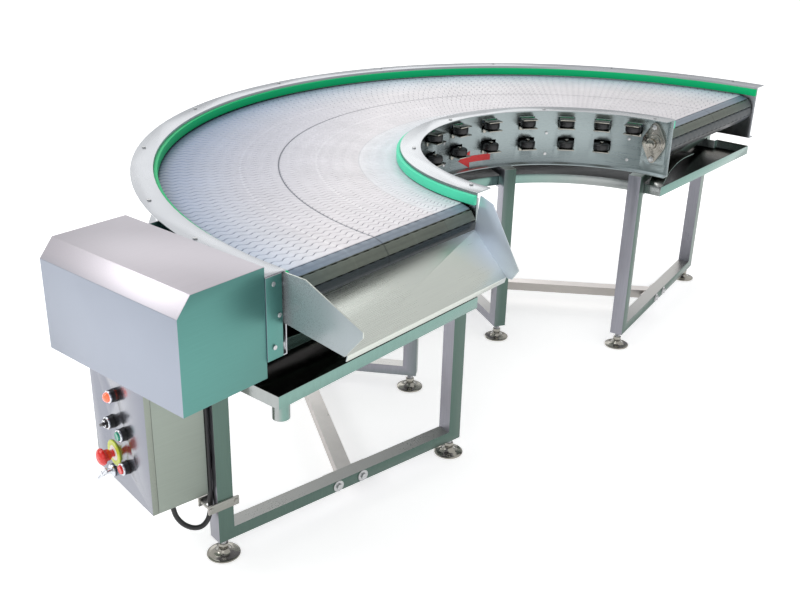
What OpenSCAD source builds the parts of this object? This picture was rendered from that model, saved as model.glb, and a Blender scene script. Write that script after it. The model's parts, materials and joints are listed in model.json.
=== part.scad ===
// U-turn modular plastic belt conveyor on a stainless frame.
// The arc centre is the construction origin; place() moves it to the middle of the footprint.
// Near end, drive and discharge, lies at -X; far end, tail and infeed, at +X; the arc bulges to +Y.

/* [Belt lane] */
// Radius of the inner side frame at the belt side
turn_in_r = 500; // [450:10:600]
// Width between the two side frames
lane_w = 635; // [520:5:700]
// Straight run of the side frames past the arc
end_run = 14; // [6:1:30]
// Straight run of the inner frame at the near end
inner_near_run = 2; // [1:1:14]
// Height of the side frames' top face above the floor
top_h = 770; // [740:5:850]
// Thickness of the modular belt
belt_t = 12.7; // [8:0.1:16]
// Pitch of the belt modules
belt_pitch = 25.4; // [24:0.1:26]
// Depth of the belt face below the frames' top
belt_drop = 33; // [28:1:45]
// Gap between the belt edge and the side frame
belt_side_gap = 6; // [3:1:12]

/* [Side frames] */
// Height of the side frame web
web_h = 180; // [170:1:200]
// Width of the top flange
flange_w = 55; // [50:1:70]
// Width of the bottom flange
foot_flange_w = 28; // [20:1:40]
// Sheet thickness of the side frames
frame_t = 3; // [2:0.5:5]
// Thickness of the green guide strip
strip_t = 10; // [6:1:12]
// Height of the green guide strip
strip_h = 23; // [16:1:24]
// Depth of the strip's top below the frame top
strip_drop = 7; // [4:1:8]

/* [Drive] */
// Height of the shaft axis below the belt face
shaft_rise_gap = 0; // [-2:0.5:4]
// Distance of the shaft axes behind the arc's diameter
shaft_y = 38; // [34:1:50]
// Radius of the drive and tail shafts
shaft_r = 15; // [12:0.5:18]
// Radial running clearance of shafts in bearings
run_fit = 0.05; // [0.02:0.01:0.08]
// Length of the motor body and fan cowl
motor_len = 267; // [220:1:290]
// Radius of the motor body
motor_r = 60; // [50:1:64]

/* [Drive guard] */
// Width of the drive guard across the frame
guard_w = 207; // [200:1:230]
// Length of the drive guard along the motor
guard_len = 420; // [400:5:480]
// Height of the drive guard
guard_h = 234; // [225:1:260]
// Rise of the guard above the frame top
guard_rise = 21; // [15:1:40]
// Width of the guard's chamfered edge
guard_cham_w = 32; // [20:1:40]
// Drop of the guard's chamfered edge
guard_cham_h = 38; // [20:1:45]
// Sheet thickness of guard, chute and trays
sheet_t = 2; // [1.5:0.5:3]

/* [Supports] */
// Width of the square leg tube
tube_w = 40; // [36:1:44]
// Wall thickness of the leg tube
tube_wall = 2; // [1.5:0.5:3]
// Radius of the inner legs' circle
leg_in_r = 457; // [450:1:460]
// Radius of the outer legs' circle
leg_out_r = 1163; // [1160:1:1166]
// Height of the tubes' lower ends above the floor
leg_z = 48; // [44:1:60]
// Height of the lower crossbars and stretchers
bar_h = 30; // [24:1:40]
// Angle of the first support from the near end
support_1 = 10; // [9:0.5:12]
// Angle of the second support
support_2 = 58.5; // [54:0.5:62]
// Angle of the third support
support_3 = 120; // [118:0.5:122]
// Angle of the fourth support
support_4 = 172; // [170:0.5:172]
// Diameter of the levelling foot's disc
foot_d = 78; // [60:1:80]
// Radius of the levelling foot's stem
stem_r = 8; // [6:0.5:10]

/* [Trays and chute] */
// Height of the tray rims
rim_h = 30; // [20:1:32]
// Depth of the upper drip tray's rim below the top edge
drip_drop = 212; // [211:1:225]
// Depth of the drain tray's rim below the top edge
drain_drop = 270; // [258:1:280]
// Radius of the drain stub
drain_r = 19; // [15:1:25]
// Length of the drain stub
drain_len = 37; // [25:1:60]
// Slope of the chute plate in degrees
chute_slope = 15.1; // [10:0.5:20]
// Length of the chute plate down its slope
chute_len = 169; // [140:1:200]

/* [Control box] */
// Width of the control box
box_w = 258; // [250:1:280]
// Height of the control box
box_h = 342; // [330:1:342]
// Depth of the control box shell
box_d = 120; // [100:1:125]
// Depth of the control box's floor below the top edge
box_drop = 586; // [584:1:590]
// Thickness of the door pan
door_t = 14; // [10:1:18]

/* [Hidden] */
$fn = 96;
arc_fn = 240;

// Colours
steel = [0.78, 0.79, 0.79];
dark_steel = [0.55, 0.56, 0.57];
green = [0.12, 0.78, 0.52];
belt_grey = [0.72, 0.75, 0.79];
black = [0.08, 0.08, 0.09];
white_plastic = [0.9, 0.9, 0.88];
paint_grey = [0.45, 0.5, 0.55];
red = [0.75, 0.05, 0.05];

// General values
over = 1;
half_turn = 180;
seat_gap = 0.3;

// Belt lane
turn_out_r = turn_in_r + lane_w;
web_z = top_h - web_h;
in_face_r = turn_in_r - frame_t;
out_face_r = turn_out_r + frame_t;
in_edge_r = turn_in_r - flange_w;
out_edge_r = turn_out_r + flange_w;
belt_in_r = turn_in_r + belt_side_gap;
belt_out_r = turn_out_r - belt_side_gap;
belt_top = top_h - belt_drop;
facets = 10;
facet_turn = 360 / facets;
pitch_r = belt_pitch / 2 / sin(facet_turn / 2);
wrap_out_r = pitch_r + belt_t / 2;
wrap_in_r = pitch_r - belt_t / 2;
nose_step = 3;
shaft_z = belt_top - belt_t / 2 - pitch_r + shaft_rise_gap;
carry_z = shaft_z + pitch_r - belt_t / 2;
return_z = shaft_z - pitch_r - belt_t / 2;
end_y = -end_run;

// Bearings and shafts
pad_t = 6;
out_pad_t = 3;
bearing_body_r = 38;
bearing_ear_r = 13;
bearing_ear_pitch = 50;
bearing_base_t = 9;
bearing_ring_r = 31;
bearing_ring_h = 15;
bearing_collar_r = 22;
bearing_collar_h = 20;
pad_w = 78;
pad_h = 130;
in_seat_x = in_face_r - pad_t;
out_seat_x = out_face_r + out_pad_t;
shaft_hole_r = 25;
shaft_nib = 9;
tail_nib = 8;
shaft_end_in_x = in_seat_x - bearing_collar_h - shaft_nib;
tail_end_x = out_seat_x + bearing_collar_h + tail_nib;
sprocket_gap = 0.8;
sprocket_r = wrap_in_r * cos(facet_turn / 2) - sprocket_gap;
sprocket_w = 25;
sprocket_count = 6;
sprocket_edge = 45;
tooth_gap_r = 5;
hub_w = 34;
hub_r = 23;

// Cross members and wear rails
cross_angles = [14, 49.6, 92.8, 136, 166];
cross_w = 30;
cross_h = 30;
low_cross_h = 24;
rail_w = 14;
rail_shares = [0.1, 0.3, 0.5, 0.7, 0.9];
return_rail_shares = [0.12, 0.5, 0.88];
rail_start = 11;
rail_h = 22;
return_rail_h = 10;
cross_top = carry_z - rail_h;
low_cross_top = return_z - return_rail_h;
cross_end_gap = 0.3;

// Inner edge rollers
roller_r = 24;
roller_h = 20;
roller_belt_gap = 1;
roller_pin_r = 4;
roller_centre_r = belt_in_r - roller_belt_gap - roller_r;
roller_up_z = carry_z;
roller_low_z = return_z + 1.2 * belt_t;
roller_up_angles = [84.5, 99, 113.5, 128.3, 143, 156, 167.5];
roller_low_angles = [85, 99, 113.6, 128.6, 143.4, 156.5];
window_w = 52;
window_over = 6;
shelf_t = 3;
shelf_gap = 2;
shelf_w = 48;
shelf_reach = 42;
tab_w = 11;
tab_h = 10;
cap_w = 46;
pin_head_r = 6;
pin_head_h = 3;

// Drive unit, measured from the arc centre
guard_x = -out_edge_r;
guard_y = end_y - over;
guard_top = top_h + guard_rise;
guard_z = guard_top - guard_h;
guard_back_y = guard_y + guard_len;
gear_w = 100;
gear_gap = 35;
gear_x = -out_edge_r - gear_gap;
gear_mount_t = 6;
gear_half = 45;
gear_up = 60;
gear_down = 105;
motor_drop = 50;
motor_flange_r = 68;
motor_flange_t = 10;
cowl_len = 60;
cowl_extra = 2;
motor_x = gear_x - gear_w / 2;
motor_z = shaft_z - motor_drop;
motor_y = shaft_y + gear_half;
term_w = 70;
term_l = 90;
term_h = 46;
term_back = 70;
term_y = motor_y + term_back;
term_x = motor_x - term_w / 2;
term_top = motor_z + motor_r + term_h;
gland_r = 9;
gland_l = 8;
gear_hub_r = 26;
gear_hub_l = 4;
drive_nib = 3;
drive_end_x = gear_x - gear_w + drive_nib;
mount_low = 78;
mount_high = 71;
mount_hole_r = 30;
mount_back_gap = 2;
mount_back_y = shaft_y + gear_half - mount_back_gap;

// Guard plate and rear bracket
plate_gap = 2;
plate_bolt_shares = [[0.43, 0.9], [0.76, 0.52], [0.43, 0.16]];
plate_over = 13;
plate_in_x = turn_out_r + plate_over;
bracket_y = 380;
bracket_h = 120;
guard_open_y = 125;

// Chute
chute_drop = 85;
chute_front_in = 121;
chute_back_in = 18.5;
chute_lip = 12;
wing_t = 3;
wing_bolt_shares = [0.48, 0.84];
wing_back_gap = 0.5;
wing_up = 4;
wing_reach = 217;
wing_full = 72;
wing_nose = 65;
wing_front_low = 172;
wing_low = 110;
wing_low_front = 128;
right_yaw = -119.56;
right_tilt = 10.6;
right_len = 247;
right_drop = 126;
right_outline_shares = [[0, 0], [0.27, 0], [1, -0.738], [0.92, -0.96], [0.838, -1], [0.043, -0.66]];

// Trays
drip_z = top_h - drip_drop;
drain_z = top_h - drain_drop;
tray_leg_gap = 3;
tray_far_reach = 14;
tray_in_r = leg_in_r + tube_w / 2 + tray_leg_gap;
tray_out_r = leg_out_r - tube_w / 2 - tray_leg_gap;
tray_far_x = tray_out_r + tray_far_reach;
tray_front = 8;
tray_far_depth = 110;
drip_start = 7;
drain_out_reach = 18;
drain_x = -tray_out_r - drain_out_reach;
drain_in_x = -tray_in_r - tray_leg_gap;
drain_front = 10;
drain_back = 165;
drain_wall_share = 0.12;
splash_in = 12;
splash_x = turn_in_r - splash_in;
splash_w = 152;
splash_h = 92;
splash_lip = 58;
splash_front = 5;
splash_depth = 46;
splash_steps = 12;

// Supports and feet
support_angles = [support_1, support_2, support_3, support_4];
plug_t = 8;
head_bar_h = 26;
tray_bar_t = 6;
stretch_r = 808;
end_plate_in = 74;
end_plate_out = 54;
plate_bolt_in = 57;
plate_bolt_out = 39;
front_bolt = 38;
end_plate_t = 4;
foot_rim_h = 4;
foot_dome_h = 9;
foot_dome_r = 16;
foot_nut_r = 13;
foot_nut_h = 12;
foot_nut_z = 20;
stem_up = 40;
foot_hole_gap = 0.06;

// Control box, in the frame of the first support
box_z = top_h - box_drop;
box_leg_gap = 15;
box_back = leg_out_r + tube_w / 2 + box_leg_gap;
box_front = box_back + box_d;
box_side = 8;
box_wall = 2;
door_gap = 0.6;
door_back = box_front + door_gap;
door_front = door_back + door_t;
hinge_r = 5;
hinge_pin_r = 2.5;
hinge_off = 5.5;
hinge_h = 22;
hinge_shares = [0.14, 0.8];
box_lip = 8;
lip_gap = 0.3;
panel_hole_r = 12;
sleeve_r = 10.9;
bezel_r = 15;
bezel_h = 14;
block_r = 14;
block_l = 26;
cap_r = 10.4;
cap_out = 9;
cap_in = 1.4;
push = 4;
lamp_at = [136, box_z + 232];
selector_at = [158, box_z + 157];
green_at = [102, box_z + 151];
estop_at = [160, box_z + 76];
red_at = [103, box_z + 66];
lock_at = [176, box_z + 22];
estop_ring_r = 30;
estop_ring_t = 3;
estop_head_r = 20;
estop_head_h = 16;
estop_out = 34;
estop_stem_r = 8;
estop_sleeve_r = 8.6;
lock_r = 11;
lock_collar_r = 15;
lock_collar_h = 6;
lock_out = 24;
lock_stem_r = 6;
lock_bar_l = 70;
lock_bar_w = 11;
lock_bar_t = 6;
lock_bar_turn = 45;
lock_cam_l = 17;
lock_cam_t = 3;
lock_depth = door_t + door_gap + box_wall + lip_gap;
box_gland_r = 10;
box_gland_l = 14;
box_gland_in = 64;
box_gland_at = [box_back + box_gland_in, 40];
inlet_at = 190;
inlet_r = 6;
mount_block_w = 11;
mount_block_at = 9;
mount_block_h = 40;
mount_low_z = 46;
mount_high_z = 290;
clamp_t = 4;
clamp_h = 22;
clamp_under = 46;
clamp_z = box_z - clamp_under;
clamp_back = 33;
clamp_front = 45;
clamp_bolt_edge = 7;
clamp_bolt_front = 6;
clamp_in = leg_out_r - clamp_back;
clamp_out = leg_out_r + clamp_front;
clamp_bolt_r = 3;
clamp_bolt_in = clamp_in + clamp_bolt_edge;
clamp_bolt_out = clamp_out - clamp_bolt_front;
clamp_head_r = 6;

// Motor cable
cable_r = 6;
cable_sides = 8;
cable_low = [[99, 39.5, -14], [99, 39.5, -34], [94.2, 35.2, -60], [82.5, 26.1, -80], [66.1,
  13.8, -90], [50, 3.4, -87], [37, -1.4, -72], [28.9, -1, -50], [27, -0.6, -24]];
cable_high = [[17.5, 53, -37], [15, 53, -26], [8, 53, -18.5], [0, 52, -14], [-7, 51, -8], [-11,
  51, 0], [-12, 51, 11], [-12, 51, 27], [-12, 51, 55], [-12, 51, 83], [-12, 51, 111], [-13, 50,
  135], [-18, 49, 153], [-27, 48, 162], [-42, 47, 165]];
cable_run_at = [27, -0.6];
cable_run_z = -24;
cable_run_step = 31.5;
cable_run_count = 11;
function beside_leg(p) = let (r = leg_out_r + p[0]) [
  p[1] * sin(support_1) - r * cos(support_1), p[1] * cos(support_1) + r * sin(support_1),
  box_z + p[2]];
cable_route = concat(
  [for (p = cable_low) beside_leg(p)],
  [for (k = [1 : cable_run_count])
    beside_leg([cable_run_at[0], cable_run_at[1], cable_run_z + k * cable_run_step])],
  [for (p = cable_high) [guard_x + p[0], term_y + p[1], guard_z + p[2]]]);

// Arrow
arrow_from = 100.3;
arrow_up = 30;
arrow_z = web_z + arrow_up;
arrow_len = 122;
arrow_head = 46;
arrow_head_w = 54;
arrow_tail_w = 20;
arrow_t = 0.8;

// Fasteners
screw_r = 5;
screw_h = 3;
bolt_r = 9;
bolt_h = 6;
washer_r = 15;
washer_t = 2;
flange_screw_first = 11.5;
flange_screw_step = 21.5;
flange_screw_second = 25;
flange_screw_in = 18;
head_in_r = sqrt(in_face_r * in_face_r - screw_r * screw_r);
inner_screw_first = 5.5;
inner_screw_step = 42.6;

// Placement: the middle of the footprint comes to the origin
foot_reach = leg_out_r * cos(half_turn - support_4) + foot_d / 2;
max_x = max(out_edge_r, foot_reach);
min_x = guard_x - guard_w;
max_y = out_edge_r;
wing_low_y = right_outline_shares[2][0] * right_len * sin(right_yaw)
  + right_outline_shares[2][1] * right_drop * sin(right_tilt) * cos(right_yaw);
min_y = min(-wing_reach, end_y + wing_low_y);

module place() {
  translate([-(min_x + max_x) / 2, -(min_y + max_y) / 2, 0]) children();
}

// Local X runs outward along a radius at this angle from the near end, local Y back along the arc
module polar(angle) {
  rotate([0, 0, half_turn - angle]) children();
}

// A section drawn as radius and height, taken round the half turn and along both ends
module turn(near_len, far_len) {
  rotate_extrude(angle = half_turn, $fn = arc_fn) children();
  rotate([90, 0, 0]) linear_extrude(far_len) children();
  mirror([1, 0, 0]) rotate([90, 0, 0]) linear_extrude(near_len) children();
}

module both_ends() {
  children();
  mirror([1, 0, 0]) children();
}

// Local Z along +X
module along_x() {
  rotate([90, 0, 90]) children();
}

module rect(x0, x1, y0, y1) {
  translate([x0, y0]) square([x1 - x0, y1 - y0]);
}

module block(x0, x1, y0, y1, z0, z1) {
  translate([x0, y0, z0]) cube([x1 - x0, y1 - y0, z1 - z0]);
}

module half_ring(r0, r1, y_from) {
  intersection() {
    difference() {
      circle(r = r1, $fn = arc_fn);
      circle(r = r0, $fn = arc_fn);
    }
    rect(-r1 - over, r1 + over, y_from, r1 + over);
  }
}

module shaft_holes() {
  both_ends() translate([turn_in_r / 2, shaft_y, shaft_z]) along_x()
    cylinder(r = shaft_hole_r, h = out_edge_r);
}

module outer_side_frame() {
  place() color(steel) difference() {
    union() {
      turn(end_run, end_run) {
        rect(turn_out_r, out_face_r, web_z, top_h);
        rect(turn_out_r, out_edge_r, top_h - frame_t, top_h);
        rect(turn_out_r, turn_out_r + foot_flange_w, web_z, web_z + frame_t);
      }
      difference() {
        both_ends() block(turn_out_r + frame_t / 2, out_seat_x, shaft_y - pad_w / 2,
          shaft_y + pad_w / 2, shaft_z - pad_h / 2, shaft_z + pad_h / 2);
        cylinder(r = turn_out_r + frame_t / 2, h = top_h, $fn = arc_fn);
      }
    }
    shaft_holes();
  }
}

module window_cut(angle, mid_z) {
  polar(angle) block(in_face_r - over, turn_in_r + over, -window_w / 2, window_w / 2,
    mid_z - roller_h / 2 - window_over, mid_z + roller_h / 2 + window_over);
}

module inner_side_frame() {
  place() color(steel) difference() {
    union() {
      turn(inner_near_run, end_run) {
        rect(in_face_r, turn_in_r, web_z, top_h);
        rect(in_edge_r, turn_in_r, top_h - frame_t, top_h);
        rect(turn_in_r - foot_flange_w, turn_in_r, web_z, web_z + frame_t);
      }
      intersection() {
        both_ends() block(in_seat_x, turn_in_r, shaft_y - pad_w / 2,
          shaft_y + pad_w / 2, shaft_z - pad_h / 2, shaft_z + pad_h / 2);
        cylinder(r = turn_in_r - frame_t / 2, h = top_h, $fn = arc_fn);
      }
    }
    shaft_holes();
    for (a = roller_up_angles) window_cut(a, roller_up_z);
    for (a = roller_low_angles) window_cut(a, roller_low_z);
  }
}

module outer_guide_strip() {
  place() color(green) turn(end_run - over, end_run - over)
    rect(turn_out_r - strip_t, turn_out_r, top_h - strip_drop - strip_h, top_h - strip_drop);
}

module inner_guide_strip() {
  place() color(green) turn(inner_near_run, end_run - over)
    rect(turn_in_r, turn_in_r + strip_t, top_h - strip_drop - strip_h, top_h - strip_drop);
}

// Half of the belt's path round a shaft, a fold at each pitch
module wrap_ring() {
  folds = [for (k = [0:facets / 2]) half_turn / 2 + k * facet_turn];
  polygon([
    for (a = folds) wrap_out_r * [cos(a), sin(a)],
    for (a = folds) wrap_in_r * [cos(a), -sin(a)]]);
}

module modular_belt() {
  place() color(belt_grey) translate([0, 0, shaft_z]) {
    translate([0, 0, wrap_in_r]) linear_extrude(belt_t) half_ring(belt_in_r, belt_out_r, shaft_y);
    translate([0, 0, -wrap_out_r]) linear_extrude(belt_t)
      half_ring(belt_in_r, belt_out_r, shaft_y);
    both_ends() translate([belt_in_r, shaft_y, 0]) along_x()
      linear_extrude(belt_out_r - belt_in_r - nose_step) wrap_ring();
  }
}

module rail(r, z0, h) {
  rotate([0, 0, rail_start]) rotate_extrude(angle = half_turn - 2 * rail_start, $fn = arc_fn)
    rect(r - rail_w / 2, r + rail_w / 2, z0, z0 + h);
}

module wear_rails() {
  place() color(white_plastic) {
    for (s = rail_shares) rail(turn_in_r + s * lane_w, cross_top, rail_h);
    for (s = return_rail_shares) rail(turn_in_r + s * lane_w, low_cross_top, return_rail_h);
  }
}

module cross_tube(top, h) {
  difference() {
    block(turn_in_r, turn_out_r - cross_end_gap, -cross_w / 2, cross_w / 2, top - h, top);
    block(turn_in_r - over, turn_out_r, tube_wall - cross_w / 2, cross_w / 2 - tube_wall,
      top - h + tube_wall, top - tube_wall);
  }
}

module cross_members() {
  place() color(steel) for (a = cross_angles) polar(a) {
    cross_tube(cross_top, cross_h);
    cross_tube(low_cross_top, low_cross_h);
  }
}

module drive_shaft() {
  place() color(steel) translate([drive_end_x, shaft_y, shaft_z]) along_x()
    cylinder(r = shaft_r, h = -drive_end_x - shaft_end_in_x);
}

module tail_shaft() {
  place() color(steel) translate([shaft_end_in_x, shaft_y, shaft_z]) along_x()
    cylinder(r = shaft_r, h = tail_end_x - shaft_end_in_x);
}

module sprocket() {
  difference() {
    union() {
      linear_extrude(sprocket_w, center = true) difference() {
        rotate(facet_turn / 2) circle(r = sprocket_r, $fn = 10);
        for (i = [0 : facets - 1]) rotate(i * facet_turn) translate([sprocket_r, 0])
          circle(r = tooth_gap_r, $fn = 24);
      }
      cylinder(r = hub_r, h = hub_w, center = true);
    }
    cylinder(r = shaft_r, h = hub_w + 2 * over, center = true);
  }
}

module sprocket_row() {
  span = lane_w - 2 * sprocket_edge;
  for (i = [0 : sprocket_count - 1])
    translate([turn_in_r + sprocket_edge + i * span / (sprocket_count - 1), shaft_y, shaft_z])
      along_x() sprocket();
}

module drive_sprockets() {
  place() color(black) mirror([1, 0, 0]) sprocket_row();
}

module tail_sprockets() {
  place() color(black) sprocket_row();
}

// Two-bolt oval flange unit, seat on z = 0, ears along local Y
module flange_unit() {
  difference() {
    union() {
      cylinder(r = bearing_body_r, h = bearing_base_t);
      for (s = [-1, 1]) {
        translate([0, s * bearing_ear_pitch, 0])
          cylinder(r = bearing_ear_r, h = bearing_base_t);
        linear_extrude(bearing_base_t) polygon([
          [-bearing_body_r * cos(35), s * bearing_body_r * sin(35)],
          [bearing_body_r * cos(35), s * bearing_body_r * sin(35)],
          [bearing_ear_r * cos(30), s * (bearing_ear_pitch + bearing_ear_r * sin(30))],
          [-bearing_ear_r * cos(30), s * (bearing_ear_pitch + bearing_ear_r * sin(30))]]);
      }
      cylinder(r = bearing_ring_r, h = bearing_ring_h);
      cylinder(r = bearing_collar_r, h = bearing_collar_h);
    }
    translate([0, 0, -over]) cylinder(r = shaft_r + run_fit, h = bearing_collar_h + 2 * over);
  }
}

module flange_bearings() {
  place() color(dark_steel) both_ends() {
    translate([in_seat_x, shaft_y, shaft_z]) rotate([90, 0, -90]) flange_unit();
    translate([out_seat_x, shaft_y, shaft_z]) along_x() flange_unit();
  }
}

module gearmotor() {
  place() color(paint_grey) difference() {
    union() {
      block(gear_x - gear_w, gear_x, shaft_y - gear_half, shaft_y + gear_half,
        shaft_z - gear_down, shaft_z + gear_up);
      translate([gear_x - gear_w - gear_hub_l, shaft_y, shaft_z]) along_x()
        cylinder(r = gear_hub_r, h = gear_w + gear_hub_l);
      translate([motor_x, motor_y - over, motor_z]) rotate([-90, 0, 0])
        cylinder(r = motor_flange_r, h = motor_flange_t + over);
      translate([motor_x, motor_y, motor_z]) rotate([-90, 0, 0])
        cylinder(r = motor_r, h = motor_len);
      translate([motor_x, motor_y + motor_len - cowl_len, motor_z]) rotate([-90, 0, 0])
        cylinder(r = motor_r + cowl_extra, h = cowl_len);
      block(term_x, term_x + term_w, term_y, term_y + term_l, motor_z, term_top);
      translate([term_x + term_w, cable_route[len(cable_route) - 1][1],
        cable_route[len(cable_route) - 1][2]]) along_x() cylinder(r = gland_r, h = gland_l);
    }
    translate([gear_x - gear_w - gear_hub_l - over, shaft_y, shaft_z]) along_x()
      cylinder(r = shaft_r + run_fit, h = gear_w + gear_hub_l + 2 * over);
  }
}

module gearmotor_mount() {
  place() color(steel) difference() {
    union() {
      block(gear_x, gear_x + gear_mount_t, shaft_y - gear_half, mount_back_y,
        shaft_z - mount_low, shaft_z + mount_high);
      block(gear_x, -turn_out_r, shaft_y - gear_half, mount_back_y,
        shaft_z + mount_high - gear_mount_t, shaft_z + mount_high);
      block(gear_x, -turn_out_r, shaft_y - gear_half, mount_back_y,
        shaft_z - mount_low, shaft_z - mount_low + gear_mount_t);
    }
    translate([gear_x - over, shaft_y, shaft_z]) along_x()
      cylinder(r = mount_hole_r, h = gear_mount_t + 2 * over);
    cylinder(r = out_face_r, h = top_h, $fn = arc_fn);
    block(-out_face_r - wing_t - seat_gap, -turn_in_r, end_y, 0, 0, top_h);
  }
}

module guard_profile(inset) {
  polygon([
    [guard_x - inset, guard_z - inset],
    [guard_x - inset, guard_top - inset],
    [guard_x - guard_w + guard_cham_w + inset * 0.4, guard_top - inset],
    [guard_x - guard_w + inset, guard_top - guard_cham_h - inset * 0.4],
    [guard_x - guard_w + inset, guard_z - inset]]);
}

module drive_guard() {
  place() color(steel) difference() {
    translate([0, guard_back_y, 0]) rotate([90, 0, 0])
      linear_extrude(guard_len) guard_profile(0);
    translate([0, guard_back_y - sheet_t, 0]) rotate([90, 0, 0])
      linear_extrude(guard_len - 2 * sheet_t) guard_profile(sheet_t);
    block(guard_x - 2 * sheet_t, guard_x + over, guard_y + sheet_t, guard_open_y,
      guard_z - over, top_h);
  }
}

module guard_plate() {
  place() color(steel) {
    block(guard_x, -plate_in_x, end_y - frame_t, end_y,
      web_z + plate_gap, top_h - plate_gap);
    difference() {
      block(guard_x, -turn_in_r, bracket_y, bracket_y + frame_t,
        top_h - frame_t - bracket_h, top_h - frame_t);
      cylinder(r = out_face_r, h = top_h, $fn = arc_fn);
    }
  }
}

module discharge_chute() {
  plate_z = top_h - chute_drop;
  wing_x = -out_face_r;
  wing_back = shaft_y - pad_w / 2 - wing_back_gap;
  place() color(steel) {
    translate([0, end_y, plate_z]) rotate([chute_slope, 0, 0]) {
      linear_extrude(sheet_t) polygon([[wing_x, 0], [-turn_in_r - chute_back_in, 0],
        [-turn_in_r - chute_front_in, -chute_len], [wing_x, -chute_len]]);
      translate([wing_x, -chute_len, -chute_lip])
        cube([-turn_in_r - chute_front_in - wing_x, sheet_t, chute_lip]);
    }
    translate([wing_x, 0, 0]) rotate([0, -90, 0]) linear_extrude(wing_t) polygon([
      [top_h - wing_up, wing_back],
      [top_h - wing_up, -wing_full],
      [top_h - wing_nose, -wing_reach],
      [top_h - wing_nose - chute_lip, -wing_reach],
      [top_h - wing_low_front - sheet_t, -wing_front_low],
      [top_h - wing_low, wing_back]]);
    translate([-turn_in_r, end_y, top_h - wing_up]) rotate([0, 0, right_yaw])
      rotate([90 - right_tilt, 0, 0]) linear_extrude(sheet_t)
        polygon([for (p = right_outline_shares) [p[0] * right_len, p[1] * right_drop]]);
  }
}

module drip_shape(inset, start) {
  difference() {
    union() {
      rect(tray_in_r + inset, tray_far_x - inset, -tray_front + inset, tray_far_depth - inset);
      half_ring(tray_in_r + inset, tray_out_r - inset, 0);
    }
    rotate(half_turn - start) square([tray_out_r + over, tray_out_r + over]);
  }
}

module drip_tray() {
  place() color(steel) translate([0, 0, drip_z - rim_h]) {
    linear_extrude(sheet_t) drip_shape(0, drip_start);
    linear_extrude(rim_h) difference() {
      drip_shape(0, drip_start);
      drip_shape(sheet_t, drip_start - over);
    }
  }
}

module drain_tray() {
  stub_x = drain_x + drain_r + 4 * sheet_t;
  stub_y = -drain_front + drain_r + 2 * sheet_t;
  floor_z = drain_z - rim_h;
  place() color(steel) difference() {
    union() {
      block(drain_x, drain_in_x, -drain_front, drain_back, floor_z, drain_z);
      translate([stub_x, stub_y, floor_z - drain_len]) cylinder(r = drain_r, h = drain_len);
    }
    block(drain_x + sheet_t, drain_in_x - sheet_t, -drain_front + sheet_t,
      drain_back - sheet_t, floor_z + sheet_t, drain_z + over);
    translate([stub_x, stub_y, floor_z - drain_len - over])
      cylinder(r = drain_r - sheet_t, h = drain_len + rim_h);
  }
}

function splash_pts(w, h) =
  [for (i = [0 : splash_steps]) let (a = 90 * i / splash_steps)
    [splash_x + splash_w - w * cos(a), h * sin(a)]];

module splash_sheet() {
  outer = splash_pts(splash_w, splash_h);
  inner = splash_pts(splash_w - sheet_t, splash_h - sheet_t);
  lip_x = splash_x + splash_w + splash_lip;
  place() color(steel) translate([0, splash_depth - splash_front, drip_z - rim_h + sheet_t])
    rotate([90, 0, 0]) linear_extrude(splash_depth) polygon(concat(outer,
      [[lip_x, splash_h], [lip_x, splash_h - sheet_t]],
      [for (i = [splash_steps : -1 : 0]) inner[i]]));
}

module leg(r) {
  translate([r - tube_w / 2, -tube_w / 2, leg_z]) difference() {
    cube([tube_w, tube_w, web_z - leg_z]);
    translate([tube_wall, tube_wall, plug_t])
      cube([tube_w - 2 * tube_wall, tube_w - 2 * tube_wall,
        web_z - leg_z - plug_t - tube_wall]);
    translate([tube_w / 2, tube_w / 2, -over])
      cylinder(r = stem_r + foot_hole_gap, h = plug_t + 2 * over);
  }
}

module support(angle, with_drain) {
  in_face = leg_in_r + tube_w / 2;
  out_face = leg_out_r - tube_w / 2;
  place() color(steel) polar(angle) {
    leg(leg_in_r);
    leg(leg_out_r);
    block(in_face, out_face, -tube_w / 2, tube_w / 2, leg_z, leg_z + bar_h);
    block(in_face, out_face, -tube_w / 2, tube_w / 2, web_z - head_bar_h, web_z);
    block(in_face, out_face, -tube_w / 2, tube_w / 2,
      drip_z - rim_h - tray_bar_t, drip_z - rim_h);
    if (with_drain) block(in_face, out_face, -tube_w / 2, tube_w / 2,
      drain_z - rim_h - tray_bar_t, drain_z - rim_h);
  }
}

module support_frame_1() { support(support_1, true); }
module support_frame_2() { support(support_2, false); }
module support_frame_3() { support(support_3, false); }
module support_frame_4() { support(support_4, false); }

function on_arc(r, a) = [-r * cos(a), r * sin(a)];

module stretcher(a0, a1) {
  p0 = on_arc(stretch_r, a0);
  p1 = on_arc(stretch_r, a1);
  d = p1 - p0;
  run = norm(d);
  half = tube_w / 2;
  reach = half + end_plate_t;
  plate_low = leg_z + end_plate_t / 2;
  plate_high = leg_z + bar_h - end_plate_t / 2;
  difference() {
    translate([p0[0], p0[1], leg_z]) rotate([0, 0, atan2(d[1], d[0])])
      translate([0, -half, 0]) cube([run, tube_w, bar_h]);
    polar(a0) block(stretch_r - run, stretch_r + run, -half, run, 0, leg_z + 2 * bar_h);
    polar(a1) block(stretch_r - run, stretch_r + run, -run, half, 0, leg_z + 2 * bar_h);
  }
  polar(a0) block(stretch_r - end_plate_in, stretch_r + end_plate_out, -reach, -half,
    plate_low, plate_high);
  polar(a1) block(stretch_r - end_plate_in, stretch_r + end_plate_out, half, reach,
    plate_low, plate_high);
}

module stretchers() {
  place() color(steel) for (i = [0 : 2]) stretcher(support_angles[i], support_angles[i + 1]);
}

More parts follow.
